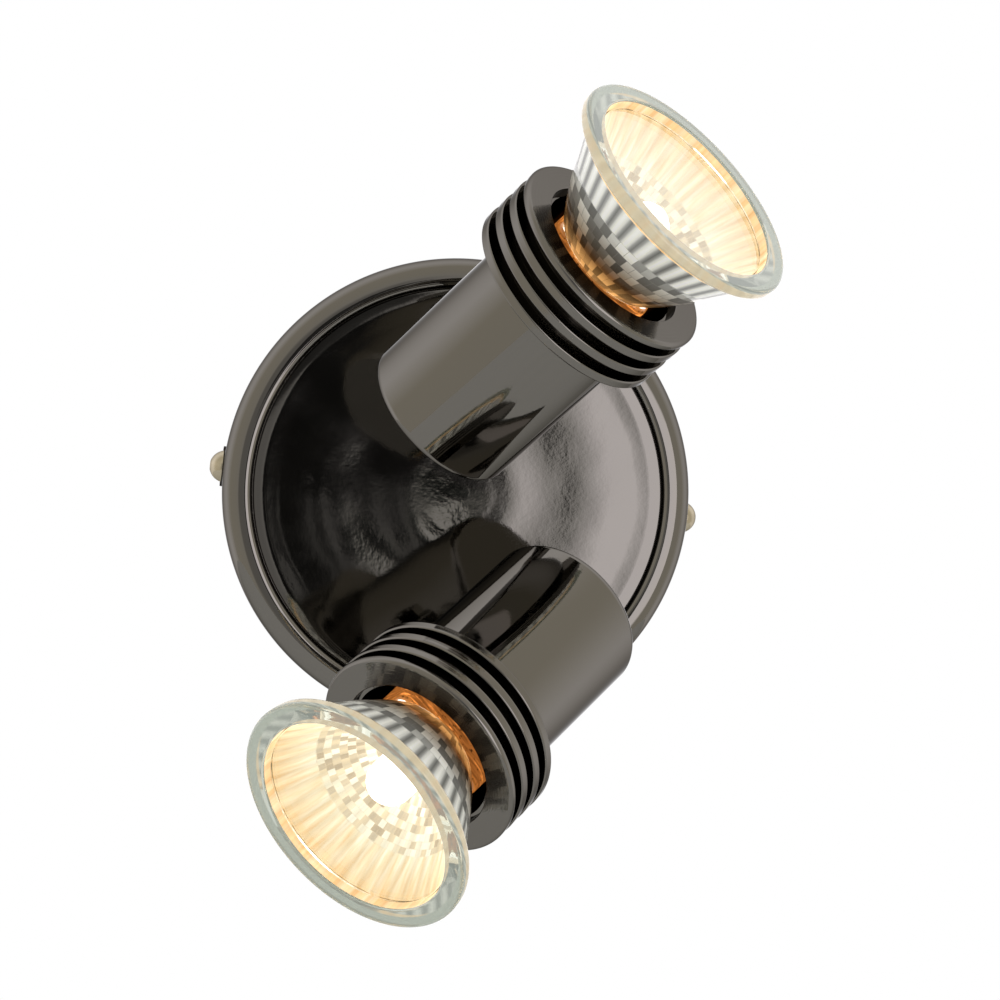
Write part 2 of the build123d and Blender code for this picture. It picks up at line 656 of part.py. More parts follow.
capsule_foot = lamp_rim - capsule_socket_depth
capsule_tip = lamp_rim - capsule_tip_depth
capsule = rod(capsule_radius, capsule_foot, capsule_tip - capsule_radius)
capsule += Pos(0, 0, capsule_tip - capsule_radius) * Sphere(capsule_radius)
capsule_inner = capsule_radius - capsule_wall
capsule -= rod(capsule_inner, capsule_foot + capsule_wall, capsule_tip - capsule_radius)
capsule -= Pos(0, 0, capsule_tip - capsule_radius) * Sphere(capsule_inner)
filament_foot = capsule_foot + capsule_wall
filament_top = lamp_rim - filament_top_depth
filament_bottom = filament_top - filament_length
filament = rod(filament_radius, filament_bottom, filament_top)
filament += rod(filament_lead_radius, filament_foot, filament_bottom)
filament += Pos(filament_return_x, 0, 0) * rod(filament_lead_radius, filament_foot, filament_top)
bridge_height = filament_top - 2 * filament_lead_radius
bridge_axis = Plane((0, 0, bridge_height), x_dir=(0, 1, 0), z_dir=(1, 0, 0))
filament += bridge_axis * rod(filament_lead_radius, 0, filament_return_x)
pin = turned(
    (0, lamp_foot),
    (pin_neck_radius, lamp_foot),
    (pin_neck_radius, lamp_foot - pin_length + pin_head_height),
    (pin_head_radius, lamp_foot - pin_length + pin_head_height),
    (pin_head_radius, lamp_foot - pin_length),
    (0, lamp_foot - pin_length),
)
pins = [Pos(side * pin_spacing / 2, 0, 0) * pin for side in (1, -1)]

# Place both spots

outward = Vector(0, -1, 0)
for name, level, hand, pan, tilt in spots:
    heading = Vector(cos(radians(pan)), 0, sin(radians(pan)))
    tilt_axis = outward.cross(heading)
    aim = heading * cos(radians(tilt)) + outward * sin(radians(tilt))
    clear = aim.cross(tilt_axis)
    foot = Vector(0, -plate_height, level * stem_spacing / 2)
    pivot = foot + outward * pivot_height
    centre = pivot + clear * head_axis_reach + tilt_axis * (hand * lug_thickness / 2)
    stem_frame = Plane(foot, x_dir=heading * hand, z_dir=outward)
    lug_frame = Plane(centre, x_dir=tilt_axis * hand, z_dir=aim * hand)
    head_frame = Plane(centre, x_dir=tilt_axis, z_dir=aim)
    save(name + "_stem", stem_frame * stem)
    save(name + "_stem_washer", stem_frame * stem_washer)
    save(name + "_stem_spring_washer", stem_frame * stem_spring_washer)
    save(name + "_stem_nut", stem_frame * stem_nut)
    save(name + "_knuckle_washer", stem_frame * knuckle_washer)
    save(name + "_tilt_screw", stem_frame * tilt_screw)
    save(name + "_tilt_spring_washer", stem_frame * tilt_spring_washer)
    save(name + "_tilt_nut", stem_frame * tilt_nut)
    save(name + "_knuckle_lug", lug_frame * lug)
    save(name + "_lug_nut", lug_frame * lug_nut)
    save(name + "_head_body", head_frame * body)
    save(name + "_front_ring", head_frame * front_ring)
    save(name + "_lampholder", head_frame * holder)
    save(name + "_lampholder_contacts", *[head_frame * piece for piece in contacts])
    save(name + "_holder_bracket", head_frame * bracket)
    save(name + "_holder_screws", *[head_frame * piece for piece in holder_screws])
    save(name + "_lamp_reflector", head_frame * glass)
    save(name + "_lamp_cover", head_frame * cover)
    save(name + "_lamp_capsule", head_frame * capsule)
    save(name + "_lamp_filament", head_frame * filament)
    save(name + "_lamp_pins", *[head_frame * piece for piece in pins])
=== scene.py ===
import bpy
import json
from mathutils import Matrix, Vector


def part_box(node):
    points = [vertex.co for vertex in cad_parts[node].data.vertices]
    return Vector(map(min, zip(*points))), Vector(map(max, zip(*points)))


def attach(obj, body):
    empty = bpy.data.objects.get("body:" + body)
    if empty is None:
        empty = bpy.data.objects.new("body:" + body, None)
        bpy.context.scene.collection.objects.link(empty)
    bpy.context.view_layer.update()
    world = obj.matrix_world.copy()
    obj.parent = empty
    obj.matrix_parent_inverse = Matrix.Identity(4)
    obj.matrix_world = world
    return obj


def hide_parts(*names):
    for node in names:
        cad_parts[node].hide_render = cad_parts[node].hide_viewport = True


bl_info = {
    "name": "Twin wall spotlight",
    "version": (1, 0, 0),
    "blender": (4, 5, 0),
    "location": "View3D > Sidebar > Spotlight",
    "description": "Dresses the twin wall spotlight's frame with its finished pieces, stage and camera",
    "category": "Object",
}

import json
import random
from math import asin, atan2, cos, degrees, floor, pi, radians, sin, sqrt

import bmesh
import bpy
from bpy.props import FloatProperty, FloatVectorProperty, IntProperty, PointerProperty
from bpy.types import Operator, Panel, PropertyGroup
from mathutils import Matrix, Vector

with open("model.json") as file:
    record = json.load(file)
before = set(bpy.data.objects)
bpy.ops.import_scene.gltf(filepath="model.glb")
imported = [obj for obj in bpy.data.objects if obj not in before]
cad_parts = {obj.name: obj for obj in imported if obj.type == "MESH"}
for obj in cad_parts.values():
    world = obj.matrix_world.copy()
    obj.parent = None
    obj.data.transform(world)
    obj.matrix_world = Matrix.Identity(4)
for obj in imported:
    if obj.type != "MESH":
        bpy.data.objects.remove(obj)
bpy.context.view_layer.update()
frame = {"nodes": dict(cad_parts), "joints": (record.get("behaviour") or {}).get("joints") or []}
MM = 0.001
SPOTS = ("upper", "lower")


def linear(code):
    """An sRGB hex colour as linear red, green and blue."""
    channels = [int(code[i:i + 2], 16) / 255 for i in (1, 3, 5)]
    return tuple(c / 12.92 if c <= 0.04045 else ((c + 0.055) / 1.055) ** 2.4 for c in channels)


def opaque(shade):
    """A colour with a full alpha for a node socket, from a grey level, a linear colour or a hex one."""
    if isinstance(shade, str):
        shade = linear(shade)
    elif isinstance(shade, float):
        shade = (shade, shade, shade)
    return tuple(shade) + (1.0,)


def length(name, description, millimetres):
    return FloatProperty(name=name, description=description, default=millimetres * MM, unit="LENGTH",
                         precision=5)


def colour(name, description, code):
    return FloatVectorProperty(name=name, description=description, default=linear(code), subtype="COLOR",
                               min=0.0, max=1.0)


class SPOT_PlateSizes(PropertyGroup):
    """Base plate, in the frame's own length unit."""
    rim: length("Rim radius", "Outside radius of the rolled rim", 50.0)
    face: length("Face height", "Wall to the flat front face", 19.4)
    rise: length("Rim rise", "Face to the crest of the rim", 1.1)
    bead: length("Rim bead", "Radius of the rim from its crest to the outside", 4.8)
    lip: length("Rim lip", "Radius of the rim from its crest down to the crease", 1.3)
    fold: length("Rim fold", "Radius under the rim, back to the skirt", 1.2)
    skirt: length("Skirt radius", "Outside radius of the skirt behind the rim", 48.4)
    sheet: length("Sheet", "Thickness of the pressed sheet", 1.0)
    crease: length("Crease width", "Width of the crease inside the rim", 0.6)
    crease_depth: length("Crease depth", "Face to the centre of the crease's bend", 1.5)
    shoulder: length("Shoulder radius", "Crown of the face towards the crease", 20.0)
    flat: length("Flat radius", "Radius at which the shoulder starts", 41.0)
    ripple: length("Ripple", "Height of the spinning ripples in the face", 0.035)
    ripple_pitch: length("Ripple pitch", "Distance between two ripples", 22.0)
    ripple_start: length("Ripple start", "Radius at which a ripple rises fastest", 24.5)


class SPOT_HeadSizes(PropertyGroup):
    """Stem, knuckle, cylinder and finned ring."""
    body: length("Body radius", "Outside radius of the cylinder", 16.25)
    wall: length("Body wall", "Thickness of the cylinder's wall", 1.2)
    rear: length("Rear", "Pivot plane to the closed rear end", 7.0)
    rear_edge: length("Rear edge", "Rounding of the rear edge", 1.8)
    front: length("Front", "Pivot plane to the cylinder's open end", 42.5)
    ring: length("Ring radius", "Outside radius of the fins", 21.6)
    opening: length("Ring opening", "Radius of the ring's opening", 15.9)
    lip: length("Ring lip", "Thickness of the lip in front of the cylinder", 1.5)
    front_fin: length("Front fin", "Thickness of the front fin", 1.6)
    fin: length("Fin", "Thickness of the other fins", 1.9)
    gap: length("Fin gap", "Width of the grooves between fins", 2.05)
    floor: length("Groove floor", "Radius of the grooves' floor", 17.5)
    fins: IntProperty(name="Fins", description="Number of fins", default=4, min=2, max=8)
    reach: length("Reach", "Pivot to the cylinder's centre line", 29.5)
    rod: length("Stem radius", "Radius of the stem's rod", 5.25)
    pivot: length("Pivot height", "Plate face to the tilt pivot", 38.1)


class SPOT_LampSizes(PropertyGroup):
    """Reflector lamp; depths run back from the rim."""
    rim: length("Rim place", "Pivot plane to the lamp's rim", 64.2)
    radius: length("Rim radius", "Outside radius of the glass flange", 24.985)
    flange: length("Flange", "Thickness of the flange", 2.4)
    mouth: length("Mouth radius", "Radius of the step that takes the cover", 20.6)
    step: length("Step depth", "Depth of the step that takes the cover", 3.6)
    mirror: length("Mirror mouth", "Radius of the mirror at its mouth", 20.0)
    throat: length("Mirror throat", "Radius of the mirror at its throat", 5.2)
    foot: length("Foot depth", "Depth of the bowl's foot", 22.5)
    foot_radius: length("Foot radius", "Radius of the bowl's foot", 10.8)
    base: length("Lamp length", "Depth of the neck's flat end", 46.5)
    columns: IntProperty(name="Columns", description="Facets round the mirror", default=36, min=12, max=72)
    rows: IntProperty(name="Rows", description="Rows of facets below the flutes", default=6, min=3, max=12)
    flutes: FloatProperty(name="Flutes", description="Share of the mirror's depth that is fluted",
                          default=0.4, min=0.0, max=1.0)


class SPOT_Colours(PropertyGroup):
    """Colours of the finishes."""
    chrome: colour("Black chrome", "Plate, stems and heads", "#6E6B66")
    nickel: colour("Nickel", "Side screws and lamp pins", "#B5AB95")
    zinc: colour("Zinc", "Strap, nuts and bracket", "#B4B6B8")
    glass: colour("Lamp glass", "Pressed glass of the lamps", "#F4FAF5")
    glow: colour("Glow", "Light on the lamp's mirror", "#FFDCAC")


# Places taken from the frame's joints

def joint(name):
    return next(j for j in frame["joints"] if j["name"] == name)


def upright(x_axis, y_axis, z_axis, origin):
    """A matrix from three axes and an origin."""
    return Matrix((
        (x_axis.x, y_axis.x, z_axis.x, origin.x),
        (x_axis.y, y_axis.y, z_axis.y, origin.y),
        (x_axis.z, y_axis.z, z_axis.z, origin.z),
        (0, 0, 0, 1),
    ))


OUT = Vector((0, -1, 0))
PLATE_PLACE = upright(Vector((1, 0, 0)), Vector((0, 0, 1)), OUT, Vector((0, 0, 0)))


def head_place(spot):
    """Head frame: Z along the lamp, Y away from the wall, X along the tilt axis."""
    twist = joint(spot + "_lamp_twist")
    aim = Vector(twist["axis"])
    across = -Vector(joint(spot + "_tilt")["axis"])
    return upright(across, aim.cross(across), aim, Vector(twist["pos_m"]))


def hand(spot):
    """Which side of the stem the head's lug lies on, along the tilt axis."""
    offset = Vector(joint(spot + "_lamp_twist")["pos_m"]) - Vector(joint(spot + "_tilt")["pos_m"])
    return 1 if offset.dot(-Vector(joint(spot + "_tilt")["axis"])) > 0 else -1


def stem_place(spot):
    """Stem frame: Z out of the plate, Y towards the head's lug."""
    side = -Vector(joint(spot + "_tilt")["axis"]) * hand(spot)
    return upright(side.cross(OUT), side, OUT, Vector(joint(spot + "_pan")["pos_m"]))


def lug_place(spot):
    """Lug frame: as the head's, with the lap always on the -X side."""
    head = head_place(spot)
    if hand(spot) > 0:
        return head
    return head @ Matrix.Rotation(pi, 4, "Y")


# Mesh making

def section(bm, corners, closed=False):
    """Edges through (radius, height) corners; a third number rounds that corner."""
    verts = [bm.verts.new((corner[0], 0, corner[1])) for corner in corners]
    for first, second in zip(verts, verts[1:]):
        bm.edges.new((first, second))
    if closed:
        bm.edges.new((verts[-1], verts[0]))
    for vert, corner in zip(verts, corners):
        if len(corner) > 2:
            bmesh.ops.bevel(bm, geom=[vert], offset=corner[2], offset_type="OFFSET", affect="VERTICES",
                            segments=6, profile=0.5, material=-1)


def arc(centre, radius, start, end, steps):
    """Points of a section along an arc, by angles in degrees from the radius axis."""
    angles = [radians(start + (end - start) * i / steps) for i in range(steps + 1)]
    return [(centre[0] + radius * cos(a), centre[1] + radius * sin(a)) for a in angles]


def turn(bm, steps):
    """Spin everything drawn so far about Z and close it."""
    bmesh.ops.spin(bm, geom=bm.verts[:] + bm.edges[:], cent=(0, 0, 0), axis=(0, 0, 1), angle=2 * pi,
                   steps=steps, use_merge=True, use_duplicate=False)
    bmesh.ops.remove_doubles(bm, verts=bm.verts[:], dist=1e-7)
    bmesh.ops.dissolve_degenerate(bm, dist=1e-8, edges=bm.edges[:])
    bmesh.ops.recalc_face_normals(bm, faces=bm.faces[:])


def new_verts(made):
    """The vertices among what an operator made."""
    return [item for item in made["geom"] if isinstance(item, bmesh.types.BMVert)]


def slab(bm, outline, step, mine):
    """A flat outline extruded by one step, its far edges broken; mine tells which points are the slab's."""
    face = bm.faces.new([bm.verts.new(corner) for corner in outline])
    far = new_verts(bmesh.ops.extrude_face_region(bm, geom=[face]))
    bmesh.ops.translate(bm, vec=step, verts=far)
    rim = [edge for edge in bm.edges if edge.verts[0] in far and edge.verts[1] in far]
    bmesh.ops.bevel(bm, geom=rim, offset=0.5 * MM, offset_type="OFFSET", affect="EDGES", segments=3,
                    profile=0.5, material=-1)
    faces = [item for item in bm.faces if all(mine(vert.co) for vert in item.verts)]
    bmesh.ops.recalc_face_normals(bm, faces=faces)


def piece(name, bm, place, body, nodes, materials, crease=40.0):
    """Place a finished mesh, keep its own coordinates for the materials, and let it ride."""
    own = bm.verts.layers.float_vector.new("own")
    for vert in bm.verts:
        vert[own] = vert.co
    bmesh.ops.transform(bm, matrix=place, verts=bm.verts[:])
    mesh = bpy.data.meshes.new(name)
    bm.to_mesh(mesh)
    bm.free()
    for material in materials:
        mesh.materials.append(material)
    if crease:
        mesh.shade_smooth()
        mesh.set_sharp_from_angle(angle=radians(crease))
    obj = bpy.data.objects.new(name, mesh)
    bpy.context.scene.collection.objects.link(obj)
    if crease:
        weighted = obj.modifiers.new("even shading", "WEIGHTED_NORMAL")
        weighted.keep_sharp = True
        weighted.weight = 90
    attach(obj, body)
    if nodes:
        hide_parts(*nodes)
    return obj


# Materials

def add(tree, kind, settings=None, links=None):
    """One node, with its settings or socket values, a ramp's stops, and the nodes or sockets that feed it."""
    node = tree.nodes.new("ShaderNode" + kind)
    for key, value in (settings or {}).items():
        if key == "stops":
            stops = node.color_ramp.elements
            for place, shade in value[1:-1]:
                stops.new(place).color = opaque(shade)
            for stop, (place, shade) in ((stops[0], value[0]), (stops[-1], value[-1])):
                stop.position = place
                stop.color = opaque(shade)
        elif isinstance(key, int) or key in node.inputs:
            node.inputs[key].default_value = value
        else:
            setattr(node, key, value)
    for key, source in (links or {}).items():
        socket = source.outputs[0] if isinstance(source, bpy.types.Node) else source
        tree.links.new(socket, node.inputs[key])
    return node


def blank(name):
    """A material by its name, and its empty node tree if it is new; a glow isn't sampled as a lamp."""
    material = bpy.data.materials.get(name)
    if material:
        return material, None
    material = bpy.data.materials.new(name)
    material.use_nodes = True
    material.node_tree.nodes.clear()
    material.cycles.emission_sampling = "NONE"
    return material, material.node_tree


def coordinates(tree, own):
    """A new piece's own coordinates, from before it was placed, or the object's for a machined fitting."""
    if own:
        return add(tree, "Attribute", {"attribute_name": "own"}).outputs["Vector"]
    return add(tree, "TexCoord").outputs["Object"]


def black_chrome(name, own=True, turned=0.0):
    """Black chrome plate on polished steel: a dark mirror with a faint orange peel, a slow wave left by the
    polishing wheel, smears that dull it here and there, and the lines of the lathe where it was turned."""
    material, tree = blank(name)
    if not tree:
        return material
    where = coordinates(tree, own)
    smear = add(tree, "TexNoise", {"Scale": 1 / (14 * MM), "Detail": 4.0, "Roughness": 0.6},
                {"Vector": where})
    dull = add(tree, "ValToRGB", {"stops": [(0.35, 0.03), (0.8, 0.1)]}, {"Fac": smear})
    wave = add(tree, "TexNoise", {"Scale": 1 / (11 * MM), "Detail": 1.0}, {"Vector": where})
    slow = add(tree, "Bump", {"Strength": 1.0, "Distance": 0.04 * MM}, {"Height": wave})
    peel = add(tree, "TexNoise", {"Scale": 1 / (0.9 * MM), "Detail": 2.0}, {"Vector": where})
    fine = add(tree, "Bump", {"Strength": 1.0, "Distance": 0.003 * MM}, {"Height": peel, "Normal": slow})
    if turned:
        parts = add(tree, "SeparateXYZ", None, {"Vector": where})
        flat = add(tree, "CombineXYZ", None, {"X": parts.outputs["X"], "Y": parts.outputs["Y"]})
        reach = add(tree, "VectorMath", {"operation": "LENGTH"}, {0: flat})
        cut = add(tree, "CombineXYZ", None, {"X": reach.outputs["Value"], "Y": parts.outputs["Z"]})
        line = add(tree, "TexNoise", {"Scale": 1 / (0.4 * MM), "Detail": 2.0}, {"Vector": cut})
        fine = add(tree, "Bump", {"Strength": 1.0, "Distance": turned}, {"Height": line, "Normal": fine})
    shader = add(tree, "BsdfPrincipled",
                 {"Base Color": opaque(bpy.context.scene.spot_colours.chrome), "Metallic": 1.0,
                  "Specular Tint": opaque(0.35)},
                 {"Roughness": dull, "Normal": fine})
    add(tree, "OutputMaterial", None, {"Surface": shader})
    return material


def metal(name, tint, grain, rough, own=False):
    """A plain or plated metal: grain in millimetres mottles its colour and its gloss."""
    material, tree = blank(name)
    if not tree:
        return material
    where = coordinates(tree, own)
    mottle = add(tree, "TexNoise", {"Scale": 1 / (grain * MM), "Detail": 5.0}, {"Vector": where})
    dark = [channel * 0.7 for channel in tint]
    tone = add(tree, "ValToRGB", {"stops": [(0.3, dark), (0.7, tint)]}, {"Fac": mottle})
    gloss = add(tree, "ValToRGB", {"stops": [(0.3, rough * 1.4), (0.7, rough * 0.8)]}, {"Fac": mottle})
    bump = add(tree, "Bump", {"Strength": 0.3, "Distance": 0.02 * MM}, {"Height": mottle})
    shader = add(tree, "BsdfPrincipled", {"Metallic": 1.0, "Specular Tint": opaque(0.4)},
                 {"Base Color": tone, "Roughness": gloss, "Normal": bump})
    add(tree, "OutputMaterial", None, {"Surface": shader})
    return material


def moulded(name, pale, deep, grain, rough):
    """A moulded, pressed or glazed material: grain in millimetres clouds it and roughens it."""
    material, tree = blank(name)
    if not tree:
        return material
    where = coordinates(tree, False)
    cloud = add(tree, "TexNoise", {"Scale": 1 / (grain * MM), "Detail": 6.0}, {"Vector": where})
    tone = add(tree, "ValToRGB", {"stops": [(0.3, deep), (0.7, pale)]}, {"Fac": cloud})
    bump = add(tree, "Bump", {"Strength": 0.25, "Distance": 0.05 * MM}, {"Height": cloud})
    shader = add(tree, "BsdfPrincipled", {"Roughness": rough}, {"Base Color": tone, "Normal": bump})
    add(tree, "OutputMaterial", None, {"Surface": shader})
    return material


def pressed_glass(name, tint, clear):
    """Soda-lime glass, faintly green, with the soft waves of the mould; where it is thick it looks milky."""
    material, tree = blank(name)
    if not tree:
        return material
    where = coordinates(tree, True)
    wave = add(tree, "TexNoise", {"Scale": 1 / (5 * MM), "Detail": 2.0}, {"Vector": where})
    bump = add(tree, "Bump", {"Strength": 0.1, "Distance": 0.06 * MM}, {"Height": wave})
    shader = add(tree, "BsdfPrincipled",
                 {"Base Color": opaque(tint), "Roughness": 0.03, "IOR": 1.5, "Transmission Weight": clear},
                 {"Normal": bump})
    add(tree, "OutputMaterial", None, {"Surface": shader})
    return material


def bowl_depth(tree):
    """How far up the bowl a point lies, from 0 at the foot to 1 at the mouth."""
    lamp = bpy.context.scene.spot_lamp
    parts = add(tree, "SeparateXYZ", None, {"Vector": coordinates(tree, True)})
    return add(tree, "MapRange", {"From Min": lamp.rim - lamp.foot, "From Max": lamp.rim - lamp.step},
               {"Value": parts.outputs["Z"]})


def bowl_angle(tree):
    """A point's angle round the bowl."""
    parts = add(tree, "SeparateXYZ", None, {"Vector": coordinates(tree, True)})
    return add(tree, "Math", {"operation": "ARCTAN2"}, {0: parts.outputs["Y"], 1: parts.outputs["X"]})


def ridges(tree, angle, count, low, high):
    """Radial ridges: a level that rises from low between two ridges to high on each."""
    turns = add(tree, "Math", {"operation": "MULTIPLY", 1: count / (2 * pi)}, {0: angle})
    fold = add(tree, "Math", {"operation": "PINGPONG", 1: 0.5}, {0: turns})
    return add(tree, "MapRange", {"From Max": 0.5, "To Min": low, "To Max": high}, {"Value": fold})


def bricks(tree, height, angle, top, rows, columns):
    """A random grey for each glint of a facet, in rows up to a height, every second row half a glint on."""
    across = add(tree, "Math", {"operation": "MULTIPLY", 1: columns / (2 * pi)}, {0: angle})
    down = add(tree, "Math", {"operation": "MULTIPLY", 1: rows / top}, {0: height})
    spot = add(tree, "CombineXYZ", None, {"X": across, "Y": down})
    return add(tree, "TexBrick",
               {"offset": 0.5, "Color1": opaque(0.0), "Color2": opaque(1.0), "Mortar": opaque(0.4),
                "Scale": 1.0, "Mortar Size": 0.02, "Brick Width": 1.0, "Row Height": 1.0},
               {"Vector": spot})


def painted_glow_mirror():
    """Dichroic mirror inside the lamp, with a painted glow as emission: cream at the rim, white towards the
    throat; a painted glint on every facet, a painted highlight along the middle of each flute, and painted
    reflections of the coil in streaks on the flutes."""
    material, tree = blank("dichroic_mirror_painted_glow")
    if not tree:
        return material
    lamp = bpy.context.scene.spot_lamp
    height, angle = bowl_depth(tree), bowl_angle(tree)
    glow = bpy.context.scene.spot_colours.glow
    # Painted glow: the capsule's light on the mirror as emission, brightest towards the throat, cream at the
    # rim.
    painted_glow_ramp = add(tree, "ValToRGB",
               {"stops": [(0.0, (1.8, 1.65, 1.35)), (0.3, (1.22, 1.03, 0.76)), (0.6, (1.05, 0.9, 0.66)),
                          (1.0, glow)]}, {"Fac": height})
    # Painted reflections: a random glint, dark to bright, on each facet below the flutes.
    tint = add(tree, "ValToRGB",
               {"stops": [(0.0, (0.5, 0.42, 0.34)), (0.25, (0.68, 0.62, 0.56)), (0.45, (0.9, 0.8, 0.67)),
                          (0.65, 0.97), (1.0, (1.1, 1.15, 1.3))]},
               {"Fac": bricks(tree, height, angle, 1 - lamp.flutes, 1.5 * lamp.rows, 2 * lamp.columns)})
    fluted = add(tree, "MapRange", {"From Min": 0.99 - lamp.flutes, "From Max": 1.01 - lamp.flutes},
                 {"Value": height})
    # Painted reflections of the coil, streaked along the flutes.
    ray = add(tree, "Math", {"operation": "MULTIPLY", 1: lamp.columns * 1.6 / pi}, {0: angle})
    long = add(tree, "Math", {"operation": "MULTIPLY", 1: 2.5}, {0: height})
    spot = add(tree, "CombineXYZ", None, {"X": ray, "Y": long})
    streak = add(tree, "TexNoise", {"Scale": 1.0, "Detail": 3.0}, {"Vector": spot})
    coil = add(tree, "ValToRGB",
               {"stops": [(0.3, (0.93, 0.76, 0.55)), (0.5, (1.0, 0.95, 0.86)), (0.7, (1.12, 1.12, 1.2))]},
               {"Fac": streak})
    facets = add(tree, "Mix", {"data_type": "RGBA"}, {0: fluted, 6: tint, 7: coil})
    tone = add(tree, "Mix", {"data_type": "RGBA", "blend_type": "MULTIPLY", 0: 1.0},
               {6: painted_glow_ramp, 7: facets.outputs[2]})
    # Painted highlight: emission rises along the middle of each flute.
    shader = add(tree, "BsdfPrincipled",
                 {"Base Color": opaque("#2E2A26"), "Metallic": 1.0, "Roughness": 0.2},
                 {"Emission Color": tone.outputs[2],
                  "Emission Strength": ridges(tree, angle, lamp.columns, 0.98, 1.2)})
    add(tree, "OutputMaterial", None, {"Surface": shader})
    return material


def mirror_back():
    """The mirror coating seen through the glass, all in painted light: painted reflections make bright and
    dark facets and pale flutes towards the rim, painted shade darkens it towards the neck, and a painted
    amber glow stands for light leaking through near the neck."""
    material, tree = blank("mirror_coating_back_painted_light")
    if not tree:
        return material
    lamp = bpy.context.scene.spot_lamp
    height, angle = bowl_depth(tree), bowl_angle(tree)
    # Painted reflections: each facet bright or dark at random.
    tone = add(tree, "ValToRGB",
               {"stops": [(0.0, 0.05), (0.3, 0.12), (0.5, 0.3), (0.7, 0.65), (1.0, 0.9)]},
               {"Fac": bricks(tree, height, angle, 0.7, lamp.rows, 4 * lamp.columns // 3)})
    # Painted reflections: each flute brighter along its middle.
    flute_reflection = add(tree, "ValToRGB",
                {"stops": [(0.0, 0.1), (0.3, 0.28), (0.55, 0.65), (1.0, 0.9)]},
                {"Fac": ridges(tree, angle, lamp.columns, 0.0, 1.0)})
    fluted = add(tree, "MapRange", {"From Min": 0.69, "From Max": 0.71}, {"Value": height})
    base = add(tree, "Mix", {"data_type": "RGBA"}, {0: fluted, 6: tone, 7: flute_reflection})
    # Painted shade: the coating darker and browner towards the neck.
    shade = add(tree, "ValToRGB",
                {"stops": [(0.0, "#3A2414"), (0.2, "#7A5C40"), (0.4, "#B0A698"), (0.65, "#FAF8F5")]},
                {"Fac": height})
    painted_shade_base = add(tree, "Mix", {"data_type": "RGBA", "blend_type": "MULTIPLY", 0: 1.0},
                 {6: base.outputs[2], 7: shade})
    # Painted glow as emission: amber light leaking through near the neck, pale grey towards the rim, over the
    # painted reflections.
    painted_leak_glow = add(tree, "ValToRGB",
               {"stops": [(0.0, (1.6, 0.8, 0.28)), (0.14, (0.95, 0.48, 0.16)), (0.26, "#7E5632"),
                          (0.4, "#85796A"), (0.65, "#B6B2AC"), (1.0, "#BEBBB6")]},
               {"Fac": height})
    painted_shine = add(tree, "Mix", {"data_type": "RGBA", "blend_type": "MULTIPLY", 0: 0.85},
                {6: painted_leak_glow, 7: base.outputs[2]})
    shader = add(tree, "BsdfPrincipled", {"Metallic": 1.0, "Roughness": 0.6, "Emission Strength": 1.0},
                 {"Base Color": painted_shade_base.outputs[2], "Emission Color": painted_shine.outputs[2]})
    add(tree, "OutputMaterial", None, {"Surface": shader})
    return material


def amber_neck():
    """Glass neck of the lamp with a painted glow in it: golden where it meets the bowl and amber brown below,
    with painted highlights in bright streaks round it, and dark specks."""
    material, tree = blank("pressed_glass_neck_painted_glow")
    if not tree:
        return material
    where = coordinates(tree, True)
    # Painted glow: the lamp's light in the neck as emission, golden at the bowl, amber brown below.
    depth = add(tree, "MapRange", {"From Min": -0.6, "From Max": 0.1}, {"Value": bowl_depth(tree)})
    fade = add(tree, "ValToRGB", {"stops": [(0.8, "#6A3818"), (0.93, "#A8662C"), (1.0, "#FFC070")]},
               {"Fac": depth})
    flat = add(tree, "Mapping", {"Scale": (1.0, 1.0, 7.0)}, {"Vector": where})
    streak = add(tree, "TexNoise", {"Scale": 1 / (4 * MM), "Detail": 3.0}, {"Vector": flat})
    # Painted highlights: thin bright streaks round the neck lift the glow.
    bright = add(tree, "ValToRGB",
                 {"stops": [(0.35, 0.5), (0.55, 0.9), (0.66, 2.0), (0.72, 4.0)]},
                 {"Fac": streak})
    speck = add(tree, "TexNoise", {"Scale": 1 / (0.6 * MM), "Detail": 2.0}, {"Vector": where})
    grit = add(tree, "ValToRGB", {"stops": [(0.3, 0.2), (0.4, 1.0)]}, {"Fac": speck})
    lines = add(tree, "Mix", {"data_type": "RGBA", "blend_type": "MULTIPLY", 0: 1.0}, {6: fade, 7: bright})
    tone = add(tree, "Mix", {"data_type": "RGBA", "blend_type": "MULTIPLY", 0: 1.0},
               {6: lines.outputs[2], 7: grit})
    bump = add(tree, "Bump", {"Strength": 0.4, "Distance": 0.15 * MM}, {"Height": streak})
    shader = add(tree, "BsdfPrincipled",
                 {"Base Color": opaque("#1C0D06"), "Roughness": 0.06, "Emission Strength": 1.7},
                 {"Emission Color": tone.outputs[2], "Normal": bump})
    add(tree, "OutputMaterial", None, {"Surface": shader})
    return material


def hot(name, code, strength, edge):
    """Something that glows by itself; edge is the colour where it is seen through more of its own haze."""
    material, tree = blank(name)
    if not tree:
        return material
    where = coordinates(tree, True)
    haze = add(tree, "TexNoise", {"Scale": 1 / (2.5 * MM), "Detail": 2.0}, {"Vector": where})
    tone = add(tree, "ValToRGB", {"stops": [(0.3, edge), (0.6, code)]}, {"Fac": haze})
    shader = add(tree, "BsdfPrincipled",
                 {"Base Color": opaque(code), "Roughness": 0.2, "Emission Strength": strength},
                 {"Emission Color": tone})
    add(tree, "OutputMaterial", None, {"Surface": shader})
    return material


# Pieces

